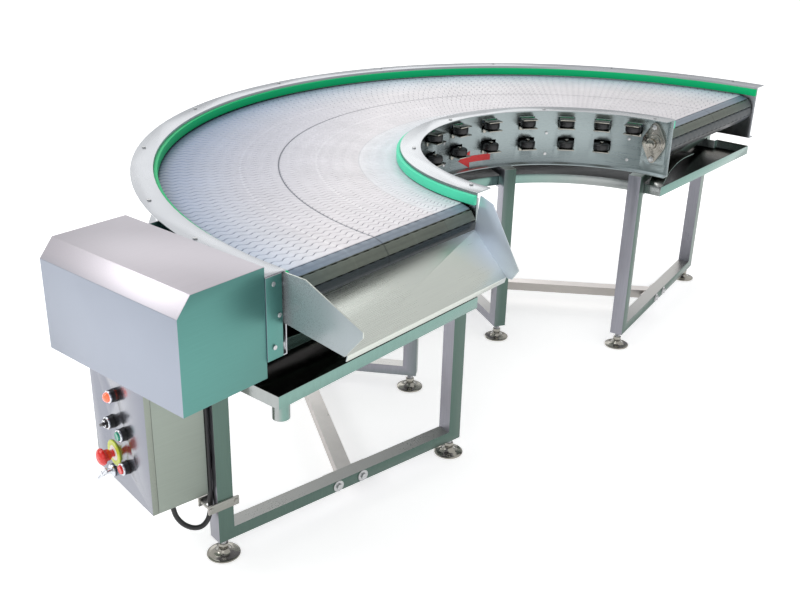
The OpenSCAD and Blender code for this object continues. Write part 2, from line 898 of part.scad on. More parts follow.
module foot(angle, r) {
  place() color(steel) polar(angle) translate([r, 0, 0]) {
    rotate_extrude() polygon([
      [0, 0],
      [foot_d / 2 - foot_rim_h / 2, 0],
      [foot_d / 2, foot_rim_h / 2],
      [foot_d / 2 - foot_rim_h / 2, foot_rim_h],
      [foot_dome_r, foot_rim_h + foot_dome_h],
      [0, foot_rim_h + foot_dome_h]]);
    cylinder(r = stem_r, h = leg_z + stem_up);
    translate([0, 0, foot_nut_z]) cylinder(r = foot_nut_r, h = foot_nut_h, $fn = 6);
  }
}

module foot_1_inner() { foot(support_1, leg_in_r); }
module foot_1_outer() { foot(support_1, leg_out_r); }
module foot_2_inner() { foot(support_2, leg_in_r); }
module foot_2_outer() { foot(support_2, leg_out_r); }
module foot_3_inner() { foot(support_3, leg_in_r); }
module foot_3_outer() { foot(support_3, leg_out_r); }
module foot_4_inner() { foot(support_4, leg_in_r); }
module foot_4_outer() { foot(support_4, leg_out_r); }

// The control box is drawn in the first support's frame; its width runs from +Y to -Y
box_y0 = box_side - box_w;
hinge_y = box_y0 - hinge_off;

module control_box() {
  place() color(steel) polar(support_1) {
    difference() {
      block(box_back, box_front, box_y0, box_side, box_z, box_z + box_h);
      block(box_back + box_wall, box_front + over, box_y0 + box_wall, box_side - box_wall,
        box_z + box_wall, box_z + box_h - box_wall);
      translate([box_gland_at[0], -inlet_at, box_z - over])
        cylinder(r = inlet_r, h = box_wall + 2 * over);
    }
    difference() {
      translate([box_gland_at[0], -inlet_at, box_z - box_gland_l])
        cylinder(r = box_gland_r, h = box_gland_l);
      translate([box_gland_at[0], -inlet_at, box_z - box_gland_l - over])
        cylinder(r = inlet_r, h = box_gland_l + 2 * over);
    }
    block(box_front - box_wall, box_front, box_y0 + over, box_side - over,
      box_z + over, box_z + box_wall + box_lip);
    translate([box_gland_at[0], -box_gland_at[1], box_z - box_gland_l])
      cylinder(r = box_gland_r, h = box_gland_l);
    for (s = hinge_shares) translate([box_front, 0, box_z + s * box_h]) {
      translate([0, hinge_y, 0]) cylinder(r = hinge_r, h = hinge_h);
      translate([0, hinge_y, 0]) cylinder(r = hinge_pin_r, h = 2 * hinge_h);
      block(-3 * hinge_r, 0, hinge_y, box_y0, 0, hinge_h);
    }
  }
}

module panel_hole(at, r) {
  translate([door_back - over, -at[0], at[1]]) along_x()
    cylinder(r = r, h = door_t + 2 * over);
}

module control_door() {
  place() color(steel) polar(support_1) {
    difference() {
      block(door_back, door_front, box_y0, box_side, box_z, box_z + box_h);
      block(door_back - over, door_front - box_wall, box_y0 + box_wall,
        box_side - box_wall, box_z + box_wall, box_z + box_h - box_wall);
      panel_hole(lamp_at, panel_hole_r);
      panel_hole(selector_at, panel_hole_r);
      panel_hole(green_at, panel_hole_r);
      panel_hole(red_at, panel_hole_r);
      panel_hole(estop_at, panel_hole_r);
      panel_hole(lock_at, lock_r + run_fit);
    }
    for (s = hinge_shares) translate([0, 0, box_z + s * box_h + hinge_h + seat_gap])
      difference() {
        union() {
          translate([box_front, hinge_y, 0]) cylinder(r = hinge_r, h = hinge_h);
          block(box_front, door_back + door_t / 2, hinge_y - hinge_r + over,
            hinge_y + hinge_r, 0, hinge_h);
          block(door_back + over, door_back + door_t / 2, hinge_y, box_y0 + over, 0, hinge_h);
        }
        translate([box_front, hinge_y, -over])
          cylinder(r = hinge_pin_r + run_fit, h = hinge_h + 2 * over);
      }
  }
}

// Collar on the door's face, sleeve through the door, switch block behind it
module bezel(at, inner_r, collar_r, collar_h) {
  translate([door_front, -at[0], at[1]]) along_x() difference() {
    union() {
      cylinder(r = collar_r, h = collar_h);
      translate([0, 0, -box_wall - over]) cylinder(r = panel_hole_r, h = box_wall + 2 * over);
      translate([0, 0, -box_wall - block_l]) cylinder(r = block_r, h = block_l);
    }
    translate([0, 0, -box_wall - 2 * push])
      cylinder(r = inner_r, h = box_wall + collar_h + 2 * push + over);
  }
}

module panel_bezels() {
  place() color(dark_steel) polar(support_1) {
    bezel(lamp_at, sleeve_r, bezel_r, bezel_h);
    bezel(selector_at, sleeve_r, bezel_r, bezel_h);
    bezel(green_at, sleeve_r, bezel_r, bezel_h);
    bezel(red_at, sleeve_r, bezel_r, bezel_h);
    bezel(estop_at, estop_sleeve_r, estop_ring_r, estop_ring_t);
  }
}

module at_panel(at) {
  place() polar(support_1) translate([door_front, -at[0], at[1]]) along_x() children();
}

module signal_lamp() {
  color(red) at_panel(lamp_at) {
    translate([0, 0, -box_wall - 2 * push])
      cylinder(r = sleeve_r, h = box_wall + bezel_h + 2 * push);
    translate([0, 0, bezel_h]) rotate_extrude() polygon([[0, 0], [sleeve_r, 0],
      [sleeve_r, cap_out * 0.5], [sleeve_r * 0.75, cap_out * 0.95], [0, cap_out * 1.1]]);
  }
}

module selector_switch() {
  color(black) at_panel(selector_at) {
    translate([0, 0, -box_wall - push])
      cylinder(r = sleeve_r - run_fit, h = box_wall + bezel_h + push);
    translate([0, 0, bezel_h]) cylinder(r = sleeve_r - run_fit, h = push);
    rotate([0, 0, 30]) translate([-sleeve_r * 0.8, -sleeve_r * 0.28, bezel_h])
      cube([sleeve_r * 1.9, sleeve_r * 0.56, cap_out + push]);
  }
}

module push_button(at) {
  at_panel(at) {
    translate([0, 0, -box_wall - push + cap_in])
      cylinder(r = cap_r, h = box_wall + bezel_h + push + push - cap_in);
  }
}

module green_button() { color(green) push_button(green_at); }
module red_button() { color(red) push_button(red_at); }

module estop_button() {
  color(red) at_panel(estop_at) {
    translate([0, 0, -box_wall - push + cap_in])
      cylinder(r = estop_stem_r, h = box_wall + push + estop_out - cap_in);
    translate([0, 0, estop_out - estop_head_h * 0.5]) rotate_extrude() polygon([[0, 0],
      [estop_head_r * 0.8, 0], [estop_head_r, estop_head_h * 0.35],
      [estop_head_r, estop_head_h * 0.6], [estop_head_r * 0.8, estop_head_h * 0.9],
      [0, estop_head_h]]);
  }
}

module door_lock() {
  color(dark_steel) at_panel(lock_at) {
    translate([0, 0, -lock_depth - over]) cylinder(r = lock_r, h = lock_depth + 2 * over);
    translate([0, 0, seat_gap]) cylinder(r = lock_collar_r, h = lock_collar_h);
    cylinder(r = lock_stem_r, h = lock_out + over);
    rotate([0, 0, lock_bar_turn]) translate([-lock_bar_l / 2, -lock_bar_w / 2, lock_out])
      cube([lock_bar_l, lock_bar_w, lock_bar_t]);
    translate([-lock_r / 2, -lock_r / 2, -lock_depth - lock_cam_t])
      cube([lock_r / 2 + lock_cam_l, lock_r, lock_cam_t]);
  }
}

module box_mount() {
  leg_face = leg_out_r + tube_w / 2;
  half = tube_w / 2;
  place() color(steel) polar(support_1) {
    for (z = [mount_low_z, mount_high_z])
      block(leg_face, box_back, -mount_block_at - mount_block_w, -mount_block_at,
        box_z + z, box_z + z + mount_block_h);
    for (s = [-1, 1]) translate([0, s * (half + clamp_t / 2), 0])
      block(clamp_in, clamp_out, -clamp_t / 2, clamp_t / 2, clamp_z, clamp_z + clamp_h);
    for (r = [clamp_bolt_in, clamp_bolt_out]) {
      translate([r, half, clamp_z + clamp_h / 2]) rotate([90, 0, 0])
        cylinder(r = clamp_bolt_r, h = tube_w);
      translate([r, half + clamp_t + clamp_bolt_r, clamp_z + clamp_h / 2]) rotate([90, 0, 0])
        cylinder(r = clamp_head_r, h = clamp_bolt_r, $fn = 6);
      translate([r, -half - clamp_t, clamp_z + clamp_h / 2]) rotate([90, 0, 0])
        cylinder(r = clamp_head_r, h = clamp_bolt_r, $fn = 6);
    }
  }
}

function unit(v) = v / norm(v);
side_ref = [sin(support_1), cos(support_1), 0];

function ring(p, t) =
  let (u = unit(cross(t, side_ref)), v = cross(t, u))
  [for (k = [0 : cable_sides - 1]) let (a = 360 * k / cable_sides)
    p + cable_r * (u * cos(a) + v * sin(a))];

module motor_cable() {
  n = len(cable_route);
  far_x = term_x + term_w + gland_l;
  route = [for (i = [0 : n - 1]) i == n - 1 ? [far_x, cable_route[i][1], cable_route[i][2]]
    : cable_route[i]];
  tangents = [for (i = [0 : n - 1]) i == 0 ? [0, 0, -1] : i == n - 1 ? [-1, 0, 0]
    : unit(route[i + 1] - route[i - 1])];
  pts = [for (i = [0 : n - 1]) each ring(route[i], tangents[i])];
  m = cable_sides;
  sides = [for (i = [0 : n - 2], k = [0 : m - 1], h = [0, 1]) h == 0
    ? [i * m + k, i * m + (k + 1) % m, (i + 1) * m + k]
    : [i * m + (k + 1) % m, (i + 1) * m + (k + 1) % m, (i + 1) * m + k]];
  caps = [for (k = [1 : m - 2]) each [[0, k + 1, k],
    [(n - 1) * m, (n - 1) * m + k, (n - 1) * m + k + 1]]];
  place() color(black) polyhedron(points = pts, faces = concat(sides, caps));
}

module roller(angle, mid_z) {
  place() color(black) polar(angle) translate([roller_centre_r, 0, mid_z - roller_h / 2])
    rotate_extrude() polygon([
      [roller_pin_r + run_fit, 0],
      [roller_r - roller_h * 0.15, 0],
      [roller_r, roller_h * 0.15],
      [roller_r, roller_h * 0.85],
      [roller_r - roller_h * 0.15, roller_h],
      [roller_pin_r + run_fit, roller_h]]);
}

module roller_up_1() { roller(roller_up_angles[0], roller_up_z); }
module roller_up_2() { roller(roller_up_angles[1], roller_up_z); }
module roller_up_3() { roller(roller_up_angles[2], roller_up_z); }
module roller_up_4() { roller(roller_up_angles[3], roller_up_z); }
module roller_up_5() { roller(roller_up_angles[4], roller_up_z); }
module roller_up_6() { roller(roller_up_angles[5], roller_up_z); }
module roller_up_7() { roller(roller_up_angles[6], roller_up_z); }
module roller_low_1() { roller(roller_low_angles[0], roller_low_z); }
module roller_low_2() { roller(roller_low_angles[1], roller_low_z); }
module roller_low_3() { roller(roller_low_angles[2], roller_low_z); }
module roller_low_4() { roller(roller_low_angles[3], roller_low_z); }
module roller_low_5() { roller(roller_low_angles[4], roller_low_z); }
module roller_low_6() { roller(roller_low_angles[5], roller_low_z); }

module roller_pin_set(angle, mid_z, capped) {
  low = mid_z - roller_h / 2 - shelf_gap;
  high = mid_z + roller_h / 2 + shelf_gap;
  polar(angle) {
    intersection() {
      union() {
        block(in_face_r - shelf_reach, in_face_r + frame_t, -shelf_w / 2, shelf_w / 2,
          low - shelf_t, low);
        for (s = [-1, 1]) translate([0, s * (shelf_w - tab_w) / 2, 0])
          block(in_face_r - 2 * shelf_t, in_face_r + frame_t, -tab_w / 2, tab_w / 2,
            low - shelf_t - tab_h, low);
        if (capped) block(in_face_r - shelf_reach, in_face_r + frame_t,
          -cap_w / 2, cap_w / 2, high, high + shelf_t);
      }
      cylinder(r = in_face_r, h = top_h, $fn = arc_fn);
    }
    translate([roller_centre_r, 0, low]) cylinder(r = roller_pin_r, h = high - low);
    if (!capped) translate([roller_centre_r, 0, high])
      cylinder(r = pin_head_r, h = pin_head_h);
  }
}

module roller_brackets() {
  place() color(dark_steel) {
    for (a = roller_up_angles) roller_pin_set(a, roller_up_z, true);
    for (a = roller_low_angles) roller_pin_set(a, roller_low_z, false);
  }
}

module direction_arrow() {
  place() color(red) intersection() {
    difference() {
      cylinder(r = in_face_r - seat_gap, h = top_h, $fn = arc_fn);
      translate([0, 0, -over])
        cylinder(r = in_face_r - seat_gap - arrow_t, h = top_h + 2 * over, $fn = arc_fn);
    }
    polar(arrow_from) translate([in_face_r / 2, 0, arrow_z]) along_x()
      linear_extrude(in_face_r) polygon([
        [0, 0],
        [-arrow_head, arrow_head_w / 2],
        [-arrow_head, arrow_tail_w / 2],
        [-arrow_len, arrow_tail_w / 2],
        [-arrow_len, -arrow_tail_w / 2],
        [-arrow_head, -arrow_tail_w / 2],
        [-arrow_head, -arrow_head_w / 2]]);
  }
}

module head_up(angle, r, z) {
  polar(angle) translate([r, 0, z]) cylinder(r = screw_r, h = screw_h);
}

module head_radial(angle, r, z, out) {
  polar(angle) translate([r, 0, z]) rotate([0, out * 90, 0])
    cylinder(r = screw_r, h = screw_h);
}

module bolt_set() {
  cylinder(r = washer_r, h = washer_t);
  translate([0, 0, washer_t]) cylinder(r = bolt_r, h = bolt_h, $fn = 6);
}

module fasteners() {
  place() color(dark_steel) {
    head_up(flange_screw_first, out_edge_r - flange_screw_in, top_h);
    for (i = [0 : 7]) head_up(flange_screw_second + i * flange_screw_step,
      out_edge_r - flange_screw_in, top_h);
    for (i = [0 : 4]) head_up(inner_screw_first + i * inner_screw_step,
      in_edge_r + flange_screw_in, top_h);
    for (a = cross_angles) {
      head_radial(a, head_in_r, cross_top - cross_h / 2, -1);
      head_radial(a, head_in_r, low_cross_top - low_cross_h / 2, -1);
      head_radial(a, out_face_r, cross_top - cross_h / 2, 1);
      head_radial(a, out_face_r, low_cross_top - low_cross_h / 2, 1);
    }
    both_ends() for (s = [-1, 1]) {
      translate([in_seat_x - bearing_base_t, shaft_y, shaft_z + s * bearing_ear_pitch])
        rotate([0, -90, 0]) cylinder(r = bolt_r, h = bolt_h, $fn = 6);
      translate([out_seat_x + bearing_base_t, shaft_y, shaft_z + s * bearing_ear_pitch])
        rotate([0, 90, 0]) cylinder(r = bolt_r, h = bolt_h, $fn = 6);
    }
    for (i = [0 : 3], s = [-1, 1], d = [-1, 1]) {
      plated = d < 0 ? i < 3 : i > 0;
      along = plated ? (s < 0 ? -plate_bolt_in : plate_bolt_out) : s * front_bolt;
      polar(support_angles[i]) translate([stretch_r + along,
        d * (tube_w / 2 + (plated ? end_plate_t : 0)), leg_z + bar_h / 2])
        rotate([-d * 90, 0, 0]) {
          if (plated) cylinder(r = bolt_r, h = bolt_h, $fn = 6);
          else bolt_set();
        }
    }
    for (s = plate_bolt_shares) translate([guard_x + s[0] * (-plate_in_x - guard_x),
      end_y - frame_t, web_z + s[1] * web_h]) rotate([90, 0, 0])
      cylinder(r = screw_r, h = screw_h);
    for (s = wing_bolt_shares) translate([-out_face_r - wing_t, end_y / 2, web_z + s * web_h])
      rotate([0, -90, 0]) cylinder(r = screw_r, h = screw_h);
  }
}

outer_side_frame();
inner_side_frame();
outer_guide_strip();
inner_guide_strip();
modular_belt();
wear_rails();
cross_members();
drive_shaft();
drive_sprockets();
tail_shaft();
tail_sprockets();
flange_bearings();
gearmotor();
gearmotor_mount();
drive_guard();
guard_plate();
discharge_chute();
drain_tray();
drip_tray();
splash_sheet();
support_frame_1();
support_frame_2();
support_frame_3();
support_frame_4();
stretchers();
foot_1_inner();
foot_1_outer();
foot_2_inner();
foot_2_outer();
foot_3_inner();
foot_3_outer();
foot_4_inner();
foot_4_outer();
control_box();
control_door();
door_lock();
panel_bezels();
signal_lamp();
selector_switch();
green_button();
red_button();
estop_button();
box_mount();
motor_cable();
roller_brackets();
direction_arrow();
fasteners();
roller_up_1();
roller_up_2();
roller_up_3();
roller_up_4();
roller_up_5();
roller_up_6();
roller_up_7();
roller_low_1();
roller_low_2();
roller_low_3();
roller_low_4();
roller_low_5();
roller_low_6();
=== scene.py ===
import json
import math

import bmesh
import bpy
import numpy as np
from mathutils import Matrix, Vector

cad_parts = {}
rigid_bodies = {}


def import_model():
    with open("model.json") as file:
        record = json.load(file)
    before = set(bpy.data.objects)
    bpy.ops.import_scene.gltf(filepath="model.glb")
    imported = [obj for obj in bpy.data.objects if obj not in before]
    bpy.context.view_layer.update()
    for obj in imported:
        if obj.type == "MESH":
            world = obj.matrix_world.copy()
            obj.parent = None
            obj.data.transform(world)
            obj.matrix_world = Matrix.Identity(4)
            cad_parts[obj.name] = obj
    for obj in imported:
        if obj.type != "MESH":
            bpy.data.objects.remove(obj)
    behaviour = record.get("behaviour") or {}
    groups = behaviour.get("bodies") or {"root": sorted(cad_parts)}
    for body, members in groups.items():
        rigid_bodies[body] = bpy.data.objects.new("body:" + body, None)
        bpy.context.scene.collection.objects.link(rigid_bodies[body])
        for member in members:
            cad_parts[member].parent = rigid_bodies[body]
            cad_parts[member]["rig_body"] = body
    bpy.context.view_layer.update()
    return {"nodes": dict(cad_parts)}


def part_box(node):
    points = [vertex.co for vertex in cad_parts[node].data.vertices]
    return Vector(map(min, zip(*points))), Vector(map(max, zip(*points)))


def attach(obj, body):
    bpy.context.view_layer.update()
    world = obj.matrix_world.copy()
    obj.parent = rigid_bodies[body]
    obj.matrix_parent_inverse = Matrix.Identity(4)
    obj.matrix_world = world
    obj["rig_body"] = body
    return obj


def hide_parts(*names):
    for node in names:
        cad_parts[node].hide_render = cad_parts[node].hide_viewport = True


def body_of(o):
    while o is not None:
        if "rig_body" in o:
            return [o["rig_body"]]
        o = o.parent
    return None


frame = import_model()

scene = bpy.context.scene

# Places are worked in millimetres from the centre of the belt's turn, then moved into the row frame
TURN_X, TURN_Y = 103.16, -484.794
MM = 0.001
FULL_TURN = 2 * math.pi

# The belt's edges, top and thickness, the shaft it turns round, and the run underneath
BELT_IN, BELT_OUT, BELT_TOP, BELT_T = 506.0, 1129.0, 737.0, 12.7
SHAFT_Y, SHAFT_Z, WRAP_OUT, WRAP_IN = 38.0, 689.552, 47.448, 34.748
RETURN_Z = SHAFT_Z - WRAP_OUT

# The control door's direction and radius, and each device's place along it and above the floor
PANEL_ANGLE, PANEL_R = 10.0, 1332.6
LAMP, SELECTOR, START, STOP = (136, 416), (158, 341), (102, 335), (103, 250)
EMERGENCY, LOCK = (160, 260), (176, 206)
KNOB_ANGLE, LEVER_ANGLE = 30, 45

# The supports' angles round the turn and the radii of their legs
SUPPORT_ANGLES = (10, 58.5, 120, 172)
LEG_RADII = (("inner", 457), ("outer", 1163))
ROLLERS_UP, ROLLERS_LOW = 7, 6

# The camera that was fitted to the photograph, with its angles in degrees
YAW, PITCH, ROLL = 39.289, 24.079, 1.556
CAMERA_SPOT = (-2387.2, -1321.0, 1515.3)
SENSOR, LENS = 36.0, 46.107
CLIP_NEAR, CLIP_FAR = 0.05, 100.0

# Area lights: name, place and aim in metres, size and power
LIGHTS = (
    ("key", (-1.6, 1.6, 4.4), (-0.2, 0.2, 0.6), (3.4, 3.4), 50),
    ("far_glow", (2.6, 3.2, 2.6), (0, 0, 0.7), (3.6, 2.2), 20),
    ("chamfer_glow", (-3.9, 2.6, 3.9), (-1.3, -0.3, 0.75), (1.8, 1.8), 52),
    ("front", (-3.4, -2.2, 2.2), (-0.6, -0.3, 0.3), (2.5, 2.0), 10),
)

# The surroundings, from the horizon up
WORLD_STRENGTH = 0.80
WORLD_TONES = ((0.0, (0.52, 0.55, 0.57)), (0.12, (0.66, 0.68, 0.71)), (0.30, (1.0, 1.0, 1.0)))
FLOOR_SIZE, FLOOR_DROP = 60, 0.0005


# Places
def place(points):
    """Millimetres from the turn's centre to metres in the row frame."""
    p = np.asarray(points, float).reshape(-1, 3)
    return (p + (TURN_X, TURN_Y, 0)) * MM


def axes(x, y, z, origin):
    """Matrix with these vectors as its axes and origin."""
    m = Matrix.Identity(4)
    for k, v in enumerate((x, y, z, origin)):
        for i in range(3):
            m[i][k] = v[i]
    return m


def polar(angle, r, back=0.0, z=0.0):
    """Matrix in mm: X outward along the radius at this angle, Y back towards the belt's near end."""
    a = math.radians(angle)
    out, tan = Vector((-math.cos(a), math.sin(a), 0)), Vector((-math.sin(a), -math.cos(a), 0))
    up = Vector((0, 0, 1))
    return axes(out, tan, up, out * r + tan * back + up * z)


def on_panel(along, z):
    """Matrix whose Z stands straight out of the control door."""
    z_outward = Matrix(((0, 0, 1, 0), (1, 0, 0, 0), (0, 1, 0, 0), (0, 0, 0, 1)))
    return polar(PANEL_ANGLE, PANEL_R, -along, z) @ z_outward


# Camera, lights and floor
def make_camera():
    yaw, pitch, roll = (math.radians(v) for v in (YAW, PITCH, ROLL))
    d = Vector((math.cos(yaw) * math.cos(pitch), math.sin(yaw) * math.cos(pitch), -math.sin(pitch)))
    r = Vector((math.sin(yaw), -math.cos(yaw), 0))
    u = r.cross(d)
    right = math.cos(roll) * r + math.sin(roll) * u
    up = -math.sin(roll) * r + math.cos(roll) * u
    cam = bpy.data.objects.new("camera", bpy.data.cameras.new("camera"))
    scene.collection.objects.link(cam)
    cam.matrix_world = axes(right, up, -d, place(CAMERA_SPOT)[0])
    cam.data.sensor_width, cam.data.lens = SENSOR, LENS
    cam.data.clip_start, cam.data.clip_end = CLIP_NEAR, CLIP_FAR
    scene.camera = cam


def make_light(name, spot, aim, size, power):
    lamp = bpy.data.lights.new(name, "AREA")
    lamp.shape, lamp.energy = "RECTANGLE", power
    lamp.size, lamp.size_y = size
    o = bpy.data.objects.new(name, lamp)
    scene.collection.objects.link(o)
    o.location = spot
    o.rotation_mode = "QUATERNION"
    o.rotation_quaternion = (Vector(aim) - Vector(spot)).to_track_quat("-Z", "Y")


def make_world():
    world = bpy.data.worlds.new("studio")
    scene.world = world
    world.use_nodes = True
    nt = world.node_tree
    nt.nodes.clear()
    height = parts(nt, node(nt, "TexCoord").outputs["Generated"])[2]
    bg = node(nt, "Background", [(0, ramp(nt, height, WORLD_TONES))], Strength=WORLD_STRENGTH)
    node(nt, "OutputWorld", [(0, bg.outputs[0])])


def make_floor():
    """A white floor that gives a little light of its own, so that it stays white far off."""
    look = surface("floor_white", (0.93, 0.93, 0.93), (0.92, 0.92, 0.92), 0.85, PLAIN, (5, 5, 5),
                   bump=0.0, Emission_Color=(1, 1, 1, 1), Emission_Strength=0.46)
    bpy.ops.mesh.primitive_grid_add(x_subdivisions=4, y_subdivisions=4, size=FLOOR_SIZE,
                                    location=(0, 0, -FLOOR_DROP))
    floor = bpy.context.object
    floor.name = "floor"
    floor.data.materials.append(look)


# Shader nodes
MIX_A, MIX_B, MIX_OUT = 6, 7, 2  # the colour sockets of a Mix node


def tree_of(name):
    m = bpy.data.materials.new(name)
    m.use_nodes = True
    nt = m.node_tree
    return m, nt, nt.nodes["Principled BSDF"]


def node(nt, kind, links=(), **values):
    """A shader node with its settings and plain values, and links as (input, source) pairs."""
    n = nt.nodes.new("ShaderNode" + kind)
    for k, v in values.items():
        if hasattr(n, k):
            setattr(n, k, v)
        else:
            n.inputs[k.replace("_", " ")].default_value = v
    for socket, source in links:
        nt.links.new(source, n.inputs[socket])
    return n


def mix(nt, factor, a, b):
    """Two colours mixed, each one a socket or plain values."""
    n = node(nt, "Mix", [("Factor", factor)], data_type="RGBA")
    for socket, c in ((MIX_A, a), (MIX_B, b)):
        if isinstance(c, tuple):
            n.inputs[socket].default_value = (*c, 1)
        else:
            nt.links.new(c, n.inputs[socket])
    return n.outputs[MIX_OUT]


def mapped(nt, value, low, high, to_low=0.0, to_high=1.0):
    """A value carried from one range to another."""
    return node(nt, "MapRange", [("Value", value)], From_Min=low, From_Max=high,
                To_Min=to_low, To_Max=to_high).outputs[0]


def maths(nt, operation, a, b):
    return node(nt, "Math", [(0, a), (1, b)], operation=operation).outputs[0]


def vector(nt, operation, a, b=None):
    """Vector maths on a socket, and a second socket or plain values."""
    n = node(nt, "VectorMath", [(0, a)], operation=operation)
    if isinstance(b, tuple):
        n.inputs[1].default_value = b
    elif b is not None:
        nt.links.new(b, n.inputs[1])
    return n.outputs["Value" if operation in ("LENGTH", "DOT_PRODUCT") else "Vector"]


def parts(nt, v):
    """The x, y and z of a vector."""
    return tuple(node(nt, "SeparateXYZ", [(0, v)]).outputs)


def noise(nt, co, **values):
    return node(nt, "TexNoise", [("Vector", co)], **values).outputs["Fac"]


def ramp(nt, factor, tones, interpolation="LINEAR"):
    """A colour ramp from (position, colour) pairs in rising order."""
    n = node(nt, "ValToRGB", [(0, factor)])
    n.color_ramp.interpolation = interpolation
    e = n.color_ramp.elements
    for k, (at, c) in ((0, tones[0]), (1, tones[-1])):
        e[k].position, e[k].color = at, (*c, 1)
    for at, c in tones[1:-1]:
        e.new(at).color = (*c, 1)
    return n.outputs[0]


def object_coords(nt):
    return node(nt, "TexCoord").outputs["Object"]


def from_turn(nt):
    """Object coordinates counted from the turn's centre, in metres."""
    return vector(nt, "SUBTRACT", object_coords(nt), (TURN_X * MM, TURN_Y * MM, 0))


def turn_coords(nt):
    """Radius, angle and height, so that a grain follows the belt's turn, and the radius alone."""
    x, y, z = parts(nt, from_turn(nt))
    r = vector(nt, "LENGTH", node(nt, "CombineXYZ", [(0, x), (1, y)]).outputs[0])
    a = maths(nt, "ARCTAN2", y, x)
    return node(nt, "CombineXYZ", [(0, r), (1, a), (2, z)]).outputs[0], r


# Materials
NOISE_SPAN = (0.6, 1.4)  # the range that the sum of fine and broad noise mostly keeps to
PATCH_SPAN = (0.3, 0.7)
FINE_SCALE, PATCH_SCALE = 1.0, 3.0
ROUGH_SWING, LEAST_ROUGH = 0.08, 0.02
BUMP_DEPTH = 0.0004
SIDEWAYS, UPWARD = (-0.45, -0.85), (0.35, 0.62)  # normals over which a face's tint of painted light sets in
TINT_SHADE = 0.8
# How far the band of painted reflection covers the tone, and the metallic that it brings
REFLECTION_SHARE, REFLECTION_METALLIC = 0.75, 0.35


def connect(nt, b, tone, fine, both, rough, bump, depth):
    """Feeds the shader's colour, its roughness from both noises and its bump from the fine one."""
    nt.links.new(tone, b.inputs["Base Color"])
    nt.links.new(mapped(nt, both, *NOISE_SPAN, *rough), b.inputs["Roughness"])
    bent = node(nt, "Bump", [("Height", fine)], Strength=bump, Distance=depth)
    nt.links.new(bent.outputs[0], b.inputs["Normal"])


def surface(name, colour, shade, rough, metallic, grain, bump=0.1, stain=0.35, follow=False,
            up=None, front=None, left=None, glow=None, **sockets):
    """A procedural finish: a fine grain, broad patches of shade, and roughness and bump from them.

    up, front and left paint light on the faces that look that way, as tints of highlight, shade and
    reflection. The band, which goes with left, is two places in x and a colour of painted reflection
    that sets in from the first to the second.
    """
    m, nt, b = tree_of(name)
    co = turn_coords(nt)[0] if follow else object_coords(nt)
    fit = node(nt, "Mapping", [("Vector", co)])
    fit.inputs["Scale"].default_value = grain
    fine = noise(nt, fit.outputs[0], Scale=FINE_SCALE, Detail=4.0, Roughness=0.6)
    broad = noise(nt, object_coords(nt), Scale=PATCH_SCALE, Detail=3.0)
    tone = mix(nt, fine, shade, colour)
    tone = mix(nt, mapped(nt, broad, *PATCH_SPAN, 0.0, stain), tone, shade)
    # Painted light: faces turned up, to the front and to the left take tints of highlight, shade and
    # reflection
    if up or front or left:
        normal = parts(nt, node(nt, "NewGeometry").outputs["Normal"])
        for tint, axis, span in ((front, 1, SIDEWAYS), (left, 0, SIDEWAYS), (up, 2, UPWARD)):
            if tint:
                share = mapped(nt, normal[axis], *span)
                grained = mix(nt, fine, tuple(v * TINT_SHADE for v in tint), tint)
                tone = mix(nt, share, tone, grained)
                if tint is left:
                    to_left = share
    # Painted reflection: a pale band along x, which is less metallic, as the left faces are
    if glow:
        first, second, reflected = glow
        band = mapped(nt, parts(nt, object_coords(nt))[0], first, second, 0.0, REFLECTION_SHARE)
        tone = mix(nt, band, tone, reflected)
        most = maths(nt, "MAXIMUM", to_left, band)
        nt.links.new(mapped(nt, most, 0.0, 1.0, metallic, REFLECTION_METALLIC), b.inputs["Metallic"])
    span = max(LEAST_ROUGH, rough - ROUGH_SWING), rough + ROUGH_SWING
    connect(nt, b, tone, fine, maths(nt, "ADD", fine, broad), span, bump, BUMP_DEPTH)
    b.inputs["Metallic"].default_value = metallic
    for k, v in sockets.items():
        b.inputs[k.replace("_", " ")].default_value = v
    return m
